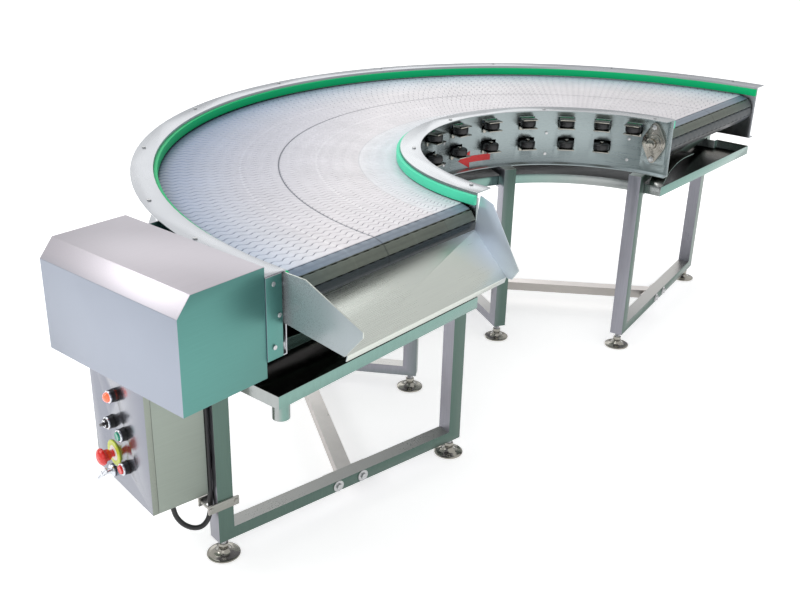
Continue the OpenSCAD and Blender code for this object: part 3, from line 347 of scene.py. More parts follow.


# Each look: colour, darker shade, roughness, metallic, grain and what else differs. The grain is
# along x, y and z, or along radius, angle and height where it follows the turn. In what else
# differs, the tints up, front and left and the pale band in x are painted light
STEEL, PLAIN = 1.0, 0.0
LEVEL = (9, 9, 700)
LOOKS = (
    ("frame_steel", (0.54, 0.55, 0.57), (0.40, 0.42, 0.45), 0.30, STEEL, (900, 5, 700),
     dict(follow=True, bump=0.12)),
    # Its tops are painted lighter: a painted highlight
    ("web_steel", (0.35, 0.40, 0.40), (0.27, 0.32, 0.33), 0.28, STEEL, (900, 5, 500),
     dict(follow=True, bump=0.07, stain=0.2, up=(0.62, 0.64, 0.66))),
    # Its left faces are painted darker and less metallic, as painted shade, and a pale bluish band
    # along x is a painted reflection
    ("sheet_steel", (0.68, 0.72, 0.66), (0.56, 0.59, 0.55), 0.30, STEEL, (12, 600, 600),
     dict(bump=0.08, left=(0.38, 0.43, 0.45), glow=(-0.56, -0.46, (0.62, 0.70, 0.82)))),
    # Its top is painted lighter, a painted highlight, and its front faces teal, a painted reflection
    ("guard_steel", (0.38, 0.41, 0.48), (0.31, 0.34, 0.40), 0.42, STEEL, (14, 500, 500),
     dict(bump=0.08, up=(0.58, 0.55, 0.59), front=(0.13, 0.32, 0.29))),
    # Its tops are painted lighter, a painted highlight, and its front faces dark teal, a painted
    # reflection
    ("tube_steel", (0.38, 0.38, 0.43), (0.25, 0.25, 0.28), 0.32, STEEL, (300, 300, 14),
     dict(bump=0.12, up=(0.70, 0.69, 0.67), front=(0.115, 0.175, 0.15))),
    # Its tops are painted near white, a painted highlight, and its front faces darker, painted shade
    ("bar_steel", (0.56, 0.52, 0.49), (0.44, 0.41, 0.39), 0.34, STEEL, (20, 20, 500),
     dict(bump=0.10, up=(0.95, 0.90, 0.87), front=(0.34, 0.34, 0.31))),
    # Its faces turned up are painted dark, painted shade and reflection in the trays, and its front
    # faces teal, a painted reflection
    ("tray_steel", (0.40, 0.42, 0.41), (0.28, 0.30, 0.30), 0.20, STEEL, (120, 120, 30),
     dict(bump=0.04, up=(0.12, 0.115, 0.10), front=(0.22, 0.36, 0.32))),
    # Its front faces are tinted olive: a painted reflection
    ("box_steel", (0.34, 0.385, 0.345), (0.24, 0.275, 0.25), 0.34, STEEL, LEVEL,
     dict(bump=0.1, front=(0.30, 0.34, 0.30))),
    # Its front faces are tinted olive: a painted reflection
    ("door_steel", (0.27, 0.28, 0.325), (0.21, 0.22, 0.26), 0.24, STEEL, LEVEL,
     dict(bump=0.06, front=(0.28, 0.31, 0.27))),
    ("cast_steel", (0.62, 0.62, 0.62), (0.46, 0.47, 0.48), 0.28, STEEL, (90, 90, 90),
     dict(bump=0.15)),
    ("polished", (0.50, 0.48, 0.43), (0.28, 0.27, 0.24), 0.14, STEEL, (70, 70, 70),
     dict(bump=0.05)),
    ("chrome", (0.72, 0.74, 0.78), (0.55, 0.57, 0.61), 0.10, STEEL, (90, 90, 90),
     dict(bump=0.03)),
    ("strip_green", (0.003, 0.50, 0.18), (0.002, 0.42, 0.145), 0.45, PLAIN, (60, 6, 60),
     dict(follow=True, bump=0.06, stain=0.2, Specular_IOR_Level=0.15)),
    # The guide strips' green, painted lighter for the inner strip: painted light
    ("strip_mint", (0.10, 0.76, 0.48), (0.08, 0.66, 0.40), 0.45, PLAIN, (60, 6, 60),
     dict(follow=True, bump=0.06, stain=0.2, Specular_IOR_Level=0.2)),
    ("rail_white", (0.80, 0.80, 0.78), (0.70, 0.70, 0.68), 0.45, PLAIN, (40, 6, 40),
     dict(follow=True)),
    ("machine_paint", (0.20, 0.23, 0.25), (0.15, 0.17, 0.19), 0.45, PLAIN, (150, 150, 150),
     dict(bump=0.25)),
    ("black_plastic", (0.018, 0.018, 0.02), (0.008, 0.008, 0.009), 0.35, PLAIN, (250, 250, 250),
     dict(bump=0.2)),
    ("cable_rubber", (0.010, 0.010, 0.011), (0.005, 0.005, 0.006), 0.36, PLAIN, (200, 200, 200),
     dict(bump=0.15)),
    ("red_plastic", (0.80, 0.020, 0.012), (0.60, 0.010, 0.008), 0.25, PLAIN, (120, 120, 120),
     dict(bump=0.06, Coat_Weight=0.4)),
    ("green_plastic", (0.010, 0.32, 0.20), (0.006, 0.22, 0.14), 0.28, PLAIN, (120, 120, 120),
     dict(bump=0.06, Coat_Weight=0.4)),
    ("yellow_plastic", (0.62, 0.72, 0.06), (0.50, 0.60, 0.05), 0.35, PLAIN, (120, 120, 120),
     dict(bump=0.06)),
    ("white_plastic", (0.85, 0.85, 0.83), (0.75, 0.75, 0.73), 0.35, PLAIN, (120, 120, 120),
     dict(bump=0.06)),
    ("arrow_red", (0.70, 0.012, 0.015), (0.55, 0.008, 0.010), 0.35, PLAIN, (80, 80, 80),
     dict(bump=0.1)),
    ("lamp_red", (0.95, 0.04, 0.02), (0.80, 0.02, 0.01), 0.18, PLAIN, (150, 150, 150),
     dict(bump=0.05, Coat_Weight=0.6, Emission_Color=(1.0, 0.12, 0.05, 1), Emission_Strength=1.6)),
)

# The belt's tone across its width, from the inner edge to the outer one, with the joints' rings.
# It is darker and bluer at the inner edge and towards the outer edge, painted shade, and black at
# the outer edge itself, a painted shadow under the guide strip
BODY, RING = (0.70, 0.675, 0.70), (0.79, 0.77, 0.79)
RING_TONES = (
    (0.0, (0.52, 0.55, 0.60)), (0.010, (0.64, 0.68, 0.74)), (0.165, (0.72, 0.72, 0.75)),
    (0.168, (0.58, 0.58, 0.61)), (0.171, BODY), (0.343, BODY), (0.350, RING), (0.357, BODY),
    (0.502, BODY), (0.507, (0.24, 0.24, 0.26)), (0.512, BODY), (0.660, BODY), (0.667, RING),
    # From here out: painted shade, darker and bluer, then a painted shadow at the outer edge
    (0.674, BODY), (0.80, (0.66, 0.67, 0.72)), (0.93, (0.52, 0.57, 0.67)),
    (0.985, (0.32, 0.37, 0.46)), (1.0, (0.02, 0.02, 0.03)),
)
# Its painted shade by height, in steps at the corners of the wraps' facets, darker down the wraps
# and darkest on the run underneath. The top run keeps its own
WRAP_LOW, WRAP_HIGH = 0.640, 0.740
WRAP_SHADE_TONES = ((0.0, (0.09, 0.10, 0.10)), (0.35, (0.03, 0.045, 0.05)), (0.642, (0.17, 0.20, 0.16)),
              (0.879, (0.30, 0.37, 0.43)), (0.955, (1, 1, 1)))
# Painted shade, darker and bluer, that sets in towards this angle of the turn, between two distances
# in metres
SHADE_ANGLE, SHADE_NEAR, SHADE_FAR = math.radians(55.0), 0.60, 1.06
UNSHADED, SHADED = (1, 1, 1), (0.40, 0.45, 0.56)
# Painted shade deep in the notches between the facets, by distance from the shaft's axis in metres
NOTCH_IN, NOTCH_OUT, NOTCH_SHADE = 0.0437, 0.0453, 0.06
BELT_FINE, BELT_BROAD, MOTTLE = 60.0, 7.0, (0.86, 1.08)
BELT_ROUGH, BELT_SPECULAR = (0.30, 0.42), 0.3
BELT_BUMP, BELT_BUMP_DEPTH = 0.15, 0.0005


def belt_look():
    """Grey moulded belt plastic: its tone changes by ring, with painted shade at its edges, on the
    wraps by height, in the notches and towards one side of the turn.
    """
    m, nt, b = tree_of("belt_plastic")
    co, r = turn_coords(nt)
    rings = ramp(nt, mapped(nt, r, BELT_IN * MM, BELT_OUT * MM), RING_TONES)
    fine = noise(nt, co, Scale=BELT_FINE, Detail=5.0)
    both = maths(nt, "ADD", fine, noise(nt, co, Scale=BELT_BROAD, Detail=3.0))
    mottle = mapped(nt, both, *NOISE_SPAN, *MOTTLE)
    # Painted shade by height on the wraps and on the run underneath
    height = mapped(nt, parts(nt, co)[2], WRAP_LOW, WRAP_HIGH)
    tone = vector(nt, "MULTIPLY", rings, ramp(nt, height, WRAP_SHADE_TONES, "CONSTANT"))
    at = from_turn(nt)
    # Painted shade towards one side of the turn
    side = vector(nt, "DOT_PRODUCT", at, (-math.cos(SHADE_ANGLE), math.sin(SHADE_ANGLE), 0))
    side_shade = mix(nt, mapped(nt, side, SHADE_NEAR, SHADE_FAR), UNSHADED, SHADED)
    # Painted shade in the notches
    from_shaft = vector(nt, "SUBTRACT", at, (0, SHAFT_Y * MM, SHAFT_Z * MM))
    away = vector(nt, "LENGTH", vector(nt, "MULTIPLY", from_shaft, (0, 1, 1)))
    notch = mapped(nt, away, NOTCH_IN, NOTCH_OUT, NOTCH_SHADE, 1.0)
    tone = vector(nt, "MULTIPLY", tone, side_shade)
    tone = vector(nt, "MULTIPLY", tone, maths(nt, "MULTIPLY", mottle, notch))
    connect(nt, b, tone, fine, both, BELT_ROUGH, BELT_BUMP, BELT_BUMP_DEPTH)
    b.inputs["Specular IOR Level"].default_value = BELT_SPECULAR
    return m


# Mesh work
ON_AXIS = 1e-6
CREASE, BELT_CREASE = 35, 24  # angles in degrees above which an edge stays sharp
BEVEL_SEGMENTS = 2
MERGE, FLAT, MOST_GROWTH = 2e-6, 0.4, 0.0004


def circle(sides):
    """Points round a circle of radius 1."""
    turns = [FULL_TURN * k / sides for k in range(sides)]
    return [(math.cos(t), math.sin(t)) for t in turns]


class Form:
    """Collects closed shapes, in mm from the turn's centre, into one mesh."""

    def __init__(self):
        self.points, self.faces = [], []

    def add(self, points, faces, m=None):
        base = len(self.points)
        for p in points:
            self.points.append(tuple(m @ Vector(p)) if m is not None else tuple(p))
        self.faces += [tuple(base + i for i in f) for f in faces]
        return self

    def revolve(self, profile, m, sides=48, ring=False):
        """A turned solid: (radius, height) pairs from axis to axis, or round a closed ring."""
        pts, rings = [], []
        for r, h in profile:
            if r < ON_AXIS:
                rings.append([len(pts)] * sides)
                pts.append((0, 0, h))
            else:
                rings.append(list(range(len(pts), len(pts) + sides)))
                pts += [(r * x, r * y, h) for x, y in circle(sides)]
        faces = []
        for a, b in zip(rings, rings[1:] + (rings[:1] if ring else [])):
            for k in range(sides):
                j = (k + 1) % sides
                f = list(dict.fromkeys((a[k], a[j], b[j], b[k])))
                if len(f) > 2:
                    faces.append(f)
        return self.add(pts, faces, m)

    def prism(self, outline, z0, z1, m):
        n = len(outline)
        pts = [(x, y, z0) for x, y in outline] + [(x, y, z1) for x, y in outline]
        faces = [tuple(range(n))[::-1], tuple(range(n, 2 * n))]
        faces += [(k, (k + 1) % n, n + (k + 1) % n, n + k) for k in range(n)]
        return self.add(pts, faces, m)

    def tube(self, path, r, sides, closed=False, m=None):
        """A round bar along a path, with flat ends, or closed on itself."""
        p = [Vector(q) for q in path]
        n = len(p)
        tangents = []
        for k in range(n):
            if closed:
                a, b = p[k - 1], p[(k + 1) % n]
            else:
                a, b = p[max(k - 1, 0)], p[min(k + 1, n - 1)]
            tangents.append((b - a).normalized())
        side = tangents[0].orthogonal().normalized()
        pts = []
        for k in range(n):
            side = (side - tangents[k] * side.dot(tangents[k])).normalized()
            up = tangents[k].cross(side)
            pts += [p[k] + (side * x + up * y) * r for x, y in circle(sides)]
        faces = []
        for k in range(n if closed else n - 1):
            a, b = k * sides, ((k + 1) % n) * sides
            faces += [(a + i, a + (i + 1) % sides, b + (i + 1) % sides, b + i) for i in range(sides)]
        if not closed:
            faces += [tuple(range(sides))[::-1], tuple(range((n - 1) * sides, n * sides))]
        return self.add(pts, faces, m)

    def piece(self, name, look, body, slot, replaces=(), bevel=0.0, crease=CREASE):
        """Makes the mesh a piece that rides on the body and stands for the named nodes."""
        me = bpy.data.meshes.new(name)
        me.from_pydata([tuple(v) for v in place(self.points)], [], self.faces)
        bm = bmesh.new()
        bm.from_mesh(me)
        bmesh.ops.recalc_face_normals(bm, faces=bm.faces)
        bm.to_mesh(me)
        bm.free()
        settle(me, name, look, body, replaces, bevel * MM, crease)


def settle(me, name, look, body, replaces, bevel, crease):
    """Rounds the edges, sets the shading and hangs the piece on its body."""
    o = bpy.data.objects.new(name, me)
    scene.collection.objects.link(o)
    if bevel:
        b = o.modifiers.new("round", "BEVEL")
        b.width, b.segments = bevel, BEVEL_SEGMENTS
        b.limit_method, b.angle_limit = "ANGLE", math.radians(crease)
        b.use_clamp_overlap = True
        graph = bpy.context.evaluated_depsgraph_get()
        done = bpy.data.meshes.new_from_object(o.evaluated_get(graph))
        o.modifiers.clear()
        o.data = done
    o.data.shade_smooth()
    o.data.set_sharp_from_angle(angle=math.radians(crease))
    o.data.materials.clear()
    o.data.materials.append(look)
    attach(o, body)
    if replaces:
        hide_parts(*replaces)
    return o


def soften(name, look, width):
    """Puts a copy of the node's own solid with rounded edges in its place.

    Where rounding opens the copy or changes its box, the node itself stays and is painted.
    """
    source = frame["nodes"][name]
    me = source.data.copy()
    bm = bmesh.new()
    bm.from_mesh(me)
    bmesh.ops.remove_doubles(bm, verts=bm.verts, dist=MERGE)
    bmesh.ops.dissolve_limit(bm, angle_limit=math.radians(FLAT), verts=bm.verts, edges=bm.edges,
                             delimit=set())
    bm.to_mesh(me)
    bm.free()
    lo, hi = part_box(name)
    body = source["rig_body"] if "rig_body" in source else body_of(source)[0]
    o = settle(me, name + "_shell", look, body, (), width * MM, CREASE)
    co = np.array([v.co for v in o.data.vertices])
    growth = max(np.abs(co.min(0) - lo).max(), np.abs(co.max(0) - hi).max())
    bm = bmesh.new()
    bm.from_mesh(o.data)
    is_open = any(len(e.link_faces) != 2 for e in bm.edges)
    bm.free()
    if is_open or growth > MOST_GROWTH:
        bpy.data.objects.remove(o)
        paint(name, look)
    else:
        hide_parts(name)


def paint(name, look):
    """Gives a node that stays its material."""
    o = frame["nodes"][name]
    if o.material_slots:
        for s in o.material_slots:
            s.material = look
    else:
        o.data.materials.append(look)


# Belt
ROWS = 137
WAVE, SWING, WAVE_SHAPE, WAVE_STEPS = 33.0, 3.6, 0.75, 8
ENDS = [0, -1]  # the two edges in a row of points
MAIN_JOINT, JOINT_HALF = 822.0, 2.5
# The joints between modules across the belt: radius, half width and depth
RING_JOINTS = ((MAIN_JOINT, 2.2, 2.0), (723.0, 1.6, 0.5), (921.0, 1.6, 0.5), (651.0, 1.4, 0.7),
               (610.0, 1.4, 0.5))
# Height along a row of modules, a facet of a wrap and a row underneath: share of its length, mm
ROW_PROFILE = ((0.0, -3.0), (0.035, -1.0), (0.09, 0.0), (0.5, 0.25), (0.91, 0.0), (0.965, -1.0))
FACET_PROFILE = ((0.0, -3.4), (0.07, -0.9), (0.15, 0.0), (0.5, 0.0), (0.85, 0.0), (0.93, -0.9))
FACETS, NOTCH_DEEP, NOTCH_SHALLOW = 5, 1.9, 0.925
RETURN_PROFILE, RETURN_ACROSS = ((0.0, 2.0), (0.1, 0.0), (0.9, 0.0)), 40


def wave(r):
    """How far a row's seam swings along the arc at this radius, a rounded zigzag."""
    s = np.sin(2 * np.pi * ((r - BELT_IN) / WAVE))
    return SWING * np.sign(s) * np.abs(s) ** WAVE_SHAPE


def ring_cut(r):
    """Depth of the joints between modules, which show as rings on the belt."""
    cut = np.zeros_like(r)
    for at, wide, deep in RING_JOINTS:
        cut = np.maximum(cut, deep * np.exp(-((r - at) / wide) ** 2))
    return cut


def row_steps(r):
    """The angle where the rows begin at each radius, and the angle that one row takes."""
    start = np.arcsin(SHAFT_Y / r)
    return start, (np.pi - 2 * start) / ROWS


def on_arc(r, phi, z):
    """A row of points at these radii and angles from the near end."""
    return np.stack([-r * np.cos(phi), r * np.sin(phi), z + 0 * r], 1)


def at_shaft(r, sign, y, z):
    """A row of points across the belt at this place round a shaft."""
    return np.stack([sign * r, SHAFT_Y + y + 0 * r, SHAFT_Z + z + 0 * r], 1)


def band(outer, inner, is_top):
    """A closed band from rows of points on its outer face and pairs of them on its inner face."""
    n, m = len(outer), len(outer[0])
    base = n * m
    faces = []
    for i in range(n - 1):
        a, b = i * m, base + 2 * i
        quads = [(a + k, a + k + 1, a + m + k + 1, a + m + k) for k in range(m - 1)]
        quads += [(b, b + 2, b + 3, b + 1), (a, a + m, b + 2, b),
                  (a + m - 1, b + 1, b + 3, a + 2 * m - 1)]
        faces += quads if is_top else [(q[0], *q[:0:-1]) for q in quads]
    for a, b, is_last in ((0, base, False), ((n - 1) * m, base + 2 * (n - 1), True)):
        ring = [a + k for k in range(m)] + [b + 1, b]
        faces.append(tuple(ring if is_last == is_top else ring[::-1]))
    f = Form()
    f.points, f.faces = [tuple(p) for p in np.concatenate(outer + inner)], faces
    return f


def wrap(r, sign):
    """The facets from the top run down round a shaft. sign is -1 at the near end."""
    outer, inner = [], []
    notch = np.where(((r - BELT_IN) / (WAVE / 2)).astype(int) % 2 == 0, NOTCH_DEEP, NOTCH_SHALLOW)
    turns = [math.radians(90 + 180 / FACETS * k) for k in range(FACETS + 1)]
    corners = [np.array([math.cos(t), math.sin(t)]) for t in turns]
    for k, (p0, p1) in enumerate(zip(corners, corners[1:])):
        n = (p0 + p1) / np.linalg.norm(p0 + p1)
        for a, h in FACET_PROFILE:
            if k == 0 and a == 0:
                continue
            q = p0 + (p1 - p0) * a
            y, z = (q[i] * WRAP_OUT + n[i] * (h * notch) for i in range(2))
            outer.append(at_shaft(r, sign, y, z))
            inner.append(at_shaft(r[ENDS], sign, q[0] * WRAP_IN, q[1] * WRAP_IN))
    outer.append(at_shaft(r, sign, 0, -WRAP_OUT))
    inner.append(at_shaft(r[ENDS], sign, 0, -WRAP_IN))
    return outer, inner


def belt_mesh():
    """Top run and both wraps in rows of wavy-edged modules, as one closed band."""
    joint = [MAIN_JOINT - JOINT_HALF, MAIN_JOINT, MAIN_JOINT + JOINT_HALF]
    even = np.arange(BELT_IN, BELT_OUT, WAVE / WAVE_STEPS)
    r = np.unique(np.concatenate([even, [BELT_OUT], joint]))
    start, step = row_steps(r)
    swing, cut = wave(r), ring_cut(r)
    top, under = [], []
    for row in range(ROWS + 1):
        for a, h in ROW_PROFILE:
            if row == ROWS and a > 0:
                break
            phi = start + (row + a) * step
            swung = phi + swing / r * min(1.0, row + a, ROWS - row - a)
            top.append(on_arc(r, swung, BELT_TOP + h - cut * (h > -1)))
            under.append(on_arc(r[ENDS], phi[ENDS], BELT_TOP - BELT_T))
    near_out, near_in = wrap(r, -1)
    far_out, far_in = wrap(r, 1)
    return band(near_out[::-1] + top + far_out, near_in[::-1] + under + far_in, True)


def belt_return():
    """The run underneath, hanging flat on its rails, its rows showing as plain grooves."""
    r = np.linspace(BELT_IN, BELT_OUT, RETURN_ACROSS)
    start, step = row_steps(r)
    low, up = [], []
    for row in range(ROWS + 1):
        for a, h in RETURN_PROFILE:
            if row == ROWS and a > 0:
                break
            phi = start + (row + a) * step
            low.append(on_arc(r, phi, RETURN_Z + h * (0 < row < ROWS)))
            up.append(on_arc(r[ENDS], phi[ENDS], RETURN_Z + BELT_T))
    return band(low, up, False)


# Control panel: turned profiles as (radius, height above the door) in mm, and their sides
RIM_SIDES, BARREL_SIDES, LEVER_SIDES, WIDE_SIDES = 40, 32, 14, 56
COLLAR = [(11.2, 0.1), (15.0, 0.1), (15.0, 2.0), (14.3, 2.4), (14.3, 9.6), (11.2, 9.6)]
RIM = [(10.95, 9.7), (14.6, 9.7), (14.9, 10.3), (14.9, 12.2), (14.2, 13.4), (13.0, 14.0),
       (11.6, 14.0), (10.95, 13.4)]
BARREL = [(12.2, -20), (13.6, -20), (13.6, -0.4), (12.2, -0.4)]
PLATE = [(18.2, 0.1), (30.0, 0.1), (30.0, 2.0), (29.2, 3.0), (18.6, 3.0), (18.2, 2.6)]
PLATE_COLLAR = [(8.7, 0.1), (18.0, 0.1), (18.0, 2.8), (17.2, 3.6), (9.4, 3.6), (8.7, 3.0)]
LENS_R, LENS_RISE, LENS_Z = 10.7, 8.6, 15.2
LENS_SIDE = [(0, -9), (LENS_R, -9), (LENS_R, 14.5)]
CAP = [(0, -4.6), (10.2, -4.6), (10.35, -4.2), (10.35, 16.4), (10.0, 17.3), (9.0, 17.9),
       (8.4, 17.7), (0, 17.1)]
MUSHROOM = [(0, -4.6), (7.8, -4.6), (7.8, 6), (9.0, 10), (13.0, 15), (13.4, 21), (15.0, 25.4),
            (18.2, 26.6), (19.6, 28.4), (20.0, 30.6), (19.6, 33.4), (18.0, 36.2), (15.0, 38.6),
            (10.5, 40.6), (5.5, 41.7), (0, 42.0)]
KNOB = [(0, -5), (10.8, -5), (10.8, 15.6), (10.2, 17.2), (9.0, 18.0), (0, 18.0)]
GRIP = [(-8.6, -2.6), (-7.4, -3.1), (9.6, -3.1), (11.8, -1.6), (12.1, 0), (11.8, 1.6), (9.6, 3.1),
        (-7.4, 3.1), (-8.6, 2.6)]  # seen from above, as (x, y)
GRIP_Z, CAM_Z = (17.0, 26.6), (-19.9, -16.8)
KNOB_RING = [(6.0, 18.3), (8.8, 18.3), (9.0, 18.8), (8.6, 19.4), (6.2, 19.4)]
STEM = [(0, -16.9), (10.9, -16.9), (10.9, 0.3), (14.6, 0.4), (14.9, 1.2), (14.9, 4.6),
        (13.8, 6.2), (8.0, 6.6), (6.0, 8.0), (5.8, 24.4), (0, 24.4)]
CAM = [(-5.5, -5.5), (17, -5.5), (17, 5.5), (-5.5, 5.5)]  # seen from above, as (x, y)
HUB = [(0, 23.4), (6.6, 23.4), (7.0, 24.0), (7.0, 29.2), (6.2, 30.0), (0, 30.0)]
# The lever is a rod bent into a long slot: half its length, its ends' radius, its height, the rod
LEVER_HALF, LEVER_END, LEVER_Z, LEVER_ROD, LEVER_STEPS = 29.5, 2.6, 27.0, 2.7, 12


def dome(r, h, z, steps=8):
    """The rounded end of a turned profile, from its side to the axis."""
    turns = [math.radians(90 * k / steps) for k in range(steps + 1)]
    return [(r * math.cos(t), z + h * math.sin(t)) for t in turns]


def turned(name, profile, at, look, body, slot, replaces=(), sides=48, ring=False):
    """A turned piece at a place on the control door."""
    form = Form().revolve(profile, on_panel(*at), sides, ring)
    form.piece(name, LOOK[look], body, slot, replaces)


def panel_parts():
    """Lamp, selector, push buttons and emergency stop, with their bezels."""
    bezels, black = Form(), Form()
    for at in (LAMP, SELECTOR, START, STOP):
        m = on_panel(*at)
        black.revolve(COLLAR, m, RIM_SIDES, True)
        bezels.revolve(RIM, m, RIM_SIDES, True)
        bezels.revolve(BARREL, m, BARREL_SIDES, True)
    bezels.piece("bezel_rims", LOOK["chrome"], "door", "bezel_chrome", ["panel_bezels"])
    black.piece("bezel_collars", LOOK["black_plastic"], "door", "black_plastic", ["panel_bezels"])
    turned("estop_plate", PLATE, EMERGENCY, "yellow_plastic", "door", "bezel_chrome",
           ["panel_bezels"], WIDE_SIDES, True)
    turned("estop_collar", PLATE_COLLAR, EMERGENCY, "white_plastic", "door", "bezel_chrome",
           ["panel_bezels"], ring=True)
    turned("lamp_lens", LENS_SIDE + dome(LENS_R, LENS_RISE, LENS_Z), LAMP, "lamp_red",
           "door", "red_plastic", ["signal_lamp"])
    turned("green_cap", CAP, START, "green_plastic", "start_push", "green_plastic",
           ["green_button"])
    turned("red_cap", CAP, STOP, "red_plastic", "stop_push", "red_plastic", ["red_button"])
    turned("estop_mushroom", MUSHROOM, EMERGENCY, "red_plastic", "emergency_push", "red_plastic",
           ["estop_button"], WIDE_SIDES)
    m = on_panel(*SELECTOR)
    knob = Form().revolve(KNOB, m)
    knob.prism(GRIP, *GRIP_Z, m @ Matrix.Rotation(math.radians(KNOB_ANGLE), 4, "Z"))
    knob.piece("selector_knob", LOOK["black_plastic"], "selector", "black_plastic",
               ["selector_switch"], bevel=0.7)
    turned("selector_ring", KNOB_RING, SELECTOR, "chrome", "selector", "bezel_chrome",
           sides=RIM_SIDES, ring=True)


def lock_parts():
    """The door's lever on its stem, the collar at the door, and the cam behind it."""
    m = on_panel(*LOCK)
    stem = Form().revolve(STEM, m).prism(CAM, *CAM_Z, m)
    stem.piece("lock_stem", LOOK["chrome"], "latch", "bezel_chrome", ["door_lock"], bevel=0.4)
    loop = []
    for middle, first in ((LEVER_HALF, -90), (-LEVER_HALF, 90)):
        for k in range(LEVER_STEPS + 1):
            a = math.radians(first + 180 / LEVER_STEPS * k)
            loop.append((middle + LEVER_END * math.cos(a), LEVER_END * math.sin(a), LEVER_Z))
    turn = m @ Matrix.Rotation(math.radians(LEVER_ANGLE), 4, "Z")
    lever = Form().tube(loop, LEVER_ROD, LEVER_SIDES, True, turn).revolve(HUB, m, RIM_SIDES)
    lever.piece("lock_lever", LOOK["chrome"], "latch", "bezel_chrome", ["door_lock"])


# Levelling feet: the pad's profile, and the stem's, which is ringed where the thread is
PAD_TOP = 17.6
PAD = [(0, 0), (37.0, 0), (38.4, 0.6), (39.0, 2.0), (38.7, 3.6), (37.2, 4.6), (33.0, 5.4),
       (27.0, 6.2), (21.0, 7.8), (17.0, 10.2), (14.0, 13.4), (12.0, 16.0), (10.5, 17.2),
       (9.2, PAD_TOP), (0, PAD_TOP)]
STEM_FOOT, STEM_END = [(0, 9), (7.8, 9), (7.8, PAD_TOP)], [(7.3, 86.5), (0, 87.6)]
THREADS, THREAD_PITCH, THREAD = 34, 2.0, ((8.0, 0.0), (7.3, 0.9), (8.0, 1.8))
NUT_R, NUT_Z, NUT_BEVEL = 13, (20, 32), 0.9
PAD_SIDES, STEM_SIDES = 56, 28


def feet():
    """Pad, threaded stem and lock nut of all eight feet."""
    thread = [(r, PAD_TOP + THREAD_PITCH * k + z) for k in range(THREADS) for r, z in THREAD]
    stem = STEM_FOOT + thread + STEM_END
    hexagon = [(NUT_R * x, NUT_R * y) for x, y in circle(6)]
    for k, angle in enumerate(SUPPORT_ANGLES, 1):
        for side, r in LEG_RADII:
            m = polar(angle, r)
            name = f"foot_{k}_{side}"
            for part, form, look, bevel in (
                    ("_pad", Form().revolve(PAD, m, PAD_SIDES), "polished", 0.0),
                    ("_stem", Form().revolve(stem, m, STEM_SIDES), "cast_steel", 0.0),
                    ("_nut", Form().prism(hexagon, *NUT_Z, m), "polished", NUT_BEVEL)):
                form.piece(name + part, LOOK[look], name + "_body", "foot_steel", [name], bevel)


# Motor cable, from the gland under the box, in a loop, up the leg and over to the motor
CABLE_R, CABLE_SIDES, SPLINE_STEPS = 5.9, 20, 6
CABLE_LOOP = [(-1236, 258, 170), (-1236, 258, 150), (-1232, 253, 124), (-1222, 242, 104),
              (-1208, 227, 94), (-1194, 214, 97), (-1182, 207, 112), (-1174, 206, 134),
              (-1172, 206, 160)]
CABLE_RISE = [(-1172, 206, z) for z in (223, 286, 349, 412, 475, 506.5)]
CABLE_TOP = [(-1172.5, 206, 520), (-1175, 206, 531), (-1182, 206, 538.5), (-1190, 205, 543),
             (-1197, 204, 549), (-1201, 204, 557), (-1202, 204, 568), (-1202, 204, 584),
             (-1202, 204, 612), (-1202, 204, 640), (-1202, 204, 668), (-1203, 203, 692),
             (-1208, 202, 710), (-1217, 201, 719), (-1232, 200, 722)]


def spline(points):
    """A smooth path through the points."""
    p = [Vector(q) for q in points]
    out = []
    for k in range(len(p) - 1):
        a, b, c, d = p[max(k - 1, 0)], p[k], p[k + 1], p[min(k + 2, len(p) - 1)]
        for i in range(SPLINE_STEPS):
            t = i / SPLINE_STEPS
            out.append(0.5 * (2 * b + (c - a) * t + (2 * a - 5 * b + 4 * c - d) * t * t
                              + (3 * b - a - 3 * c + d) * t ** 3))
    return out + [p[-1]]


def motor_cable():
    sheath = Form().tube(spline(CABLE_LOOP + CABLE_RISE + CABLE_TOP), CABLE_R, CABLE_SIDES)
    sheath.piece("cable_sheath", LOOK["cable_rubber"], "conveyor", "cable_rubber", ["motor_cable"])


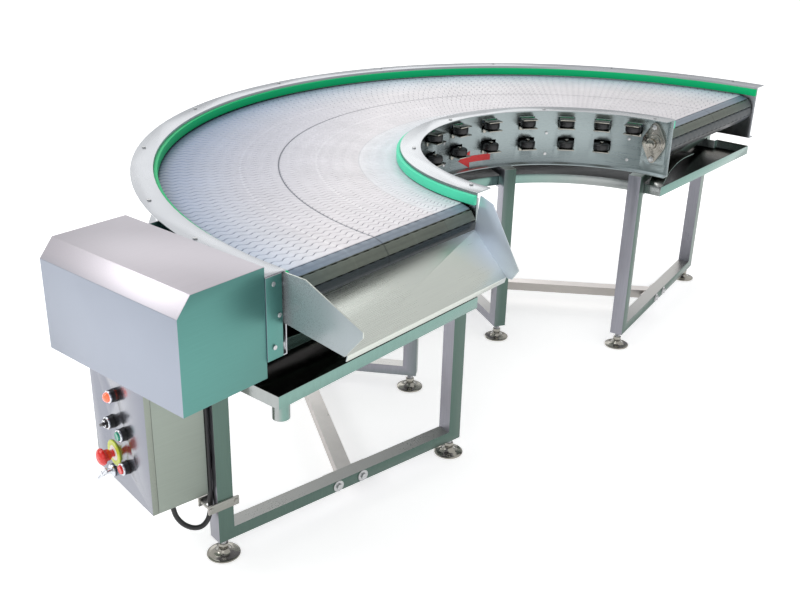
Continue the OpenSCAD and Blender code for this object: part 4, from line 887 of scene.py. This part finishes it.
# Nodes that show as rounded copies of themselves: look, record slot and width of the rounding in mm
SHELLS = {
    "outer_side_frame": ("frame_steel", "stainless", 0.7),
    "inner_side_frame": ("web_steel", "stainless", 0.7),
    "cross_members": ("bar_steel", "stainless", 0.8),
    "drive_guard": ("guard_steel", "stainless", 1.6),
    "guard_plate": ("guard_steel", "stainless", 0.7),
    "discharge_chute": ("sheet_steel", "stainless", 0.8),
    "drain_tray": ("tray_steel", "stainless", 0.6),
    "drip_tray": ("tray_steel", "stainless", 0.6),
    "splash_sheet": ("tray_steel", "stainless", 0.6),
    "support_frame_1": ("tube_steel", "stainless", 1.5),
    "support_frame_2": ("tube_steel", "stainless", 1.5),
    "support_frame_3": ("tube_steel", "stainless", 1.5),
    "support_frame_4": ("tube_steel", "stainless", 1.5),
    "stretchers": ("bar_steel", "stainless", 1.5),
    "control_box": ("box_steel", "stainless", 1.0),
    "control_door": ("door_steel", "stainless", 1.6),
    "box_mount": ("bar_steel", "stainless", 0.6),
    "flange_bearings": ("polished", "bearing_steel", 0.8),
    "gearmotor": ("machine_paint", "motor_paint", 1.0),
    "gearmotor_mount": ("bar_steel", "stainless", 0.7),
    "drive_shaft": ("polished", "stainless", 0.8),
    "tail_shaft": ("polished", "stainless", 0.8),
    "drive_sprockets": ("rail_white", "rail_plastic", 0.5),
    "tail_sprockets": ("rail_white", "rail_plastic", 0.5),
    "fasteners": ("cast_steel", "stainless", 0.4),
    "roller_brackets": ("polished", "stainless", 0.4),
    "outer_guide_strip": ("strip_green", "guide_green", 1.5),
    "inner_guide_strip": ("strip_mint", "guide_green", 1.5),
    "wear_rails": ("rail_white", "rail_plastic", 0.8),
}
for k in range(1, ROLLERS_UP + 1):
    SHELLS[f"roller_up_{k}"] = ("black_plastic", "black_plastic", 1.2)
    if k <= ROLLERS_LOW:
        SHELLS[f"roller_low_{k}"] = ("black_plastic", "black_plastic", 1.2)

# The scene
make_camera()
make_world()
for light in LIGHTS:
    make_light(*light)
LOOK = {name: surface(name, *plain, **extra) for name, *plain, extra in LOOKS}
LOOK["belt_plastic"] = belt_look()
make_floor()

panel_parts()
lock_parts()
feet()
motor_cable()
belt_mesh().piece("belt_modules", LOOK["belt_plastic"], "conveyor", "belt_plastic",
                  ["modular_belt"], crease=BELT_CREASE)
belt_return().piece("belt_return", LOOK["belt_plastic"], "conveyor", "belt_plastic",
                    ["modular_belt"], crease=BELT_CREASE)
for name, (look, slot, width) in SHELLS.items():
    soften(name, LOOK[look], width)
paint("direction_arrow", LOOK["arrow_red"])

scene.view_settings.view_transform = "Standard"
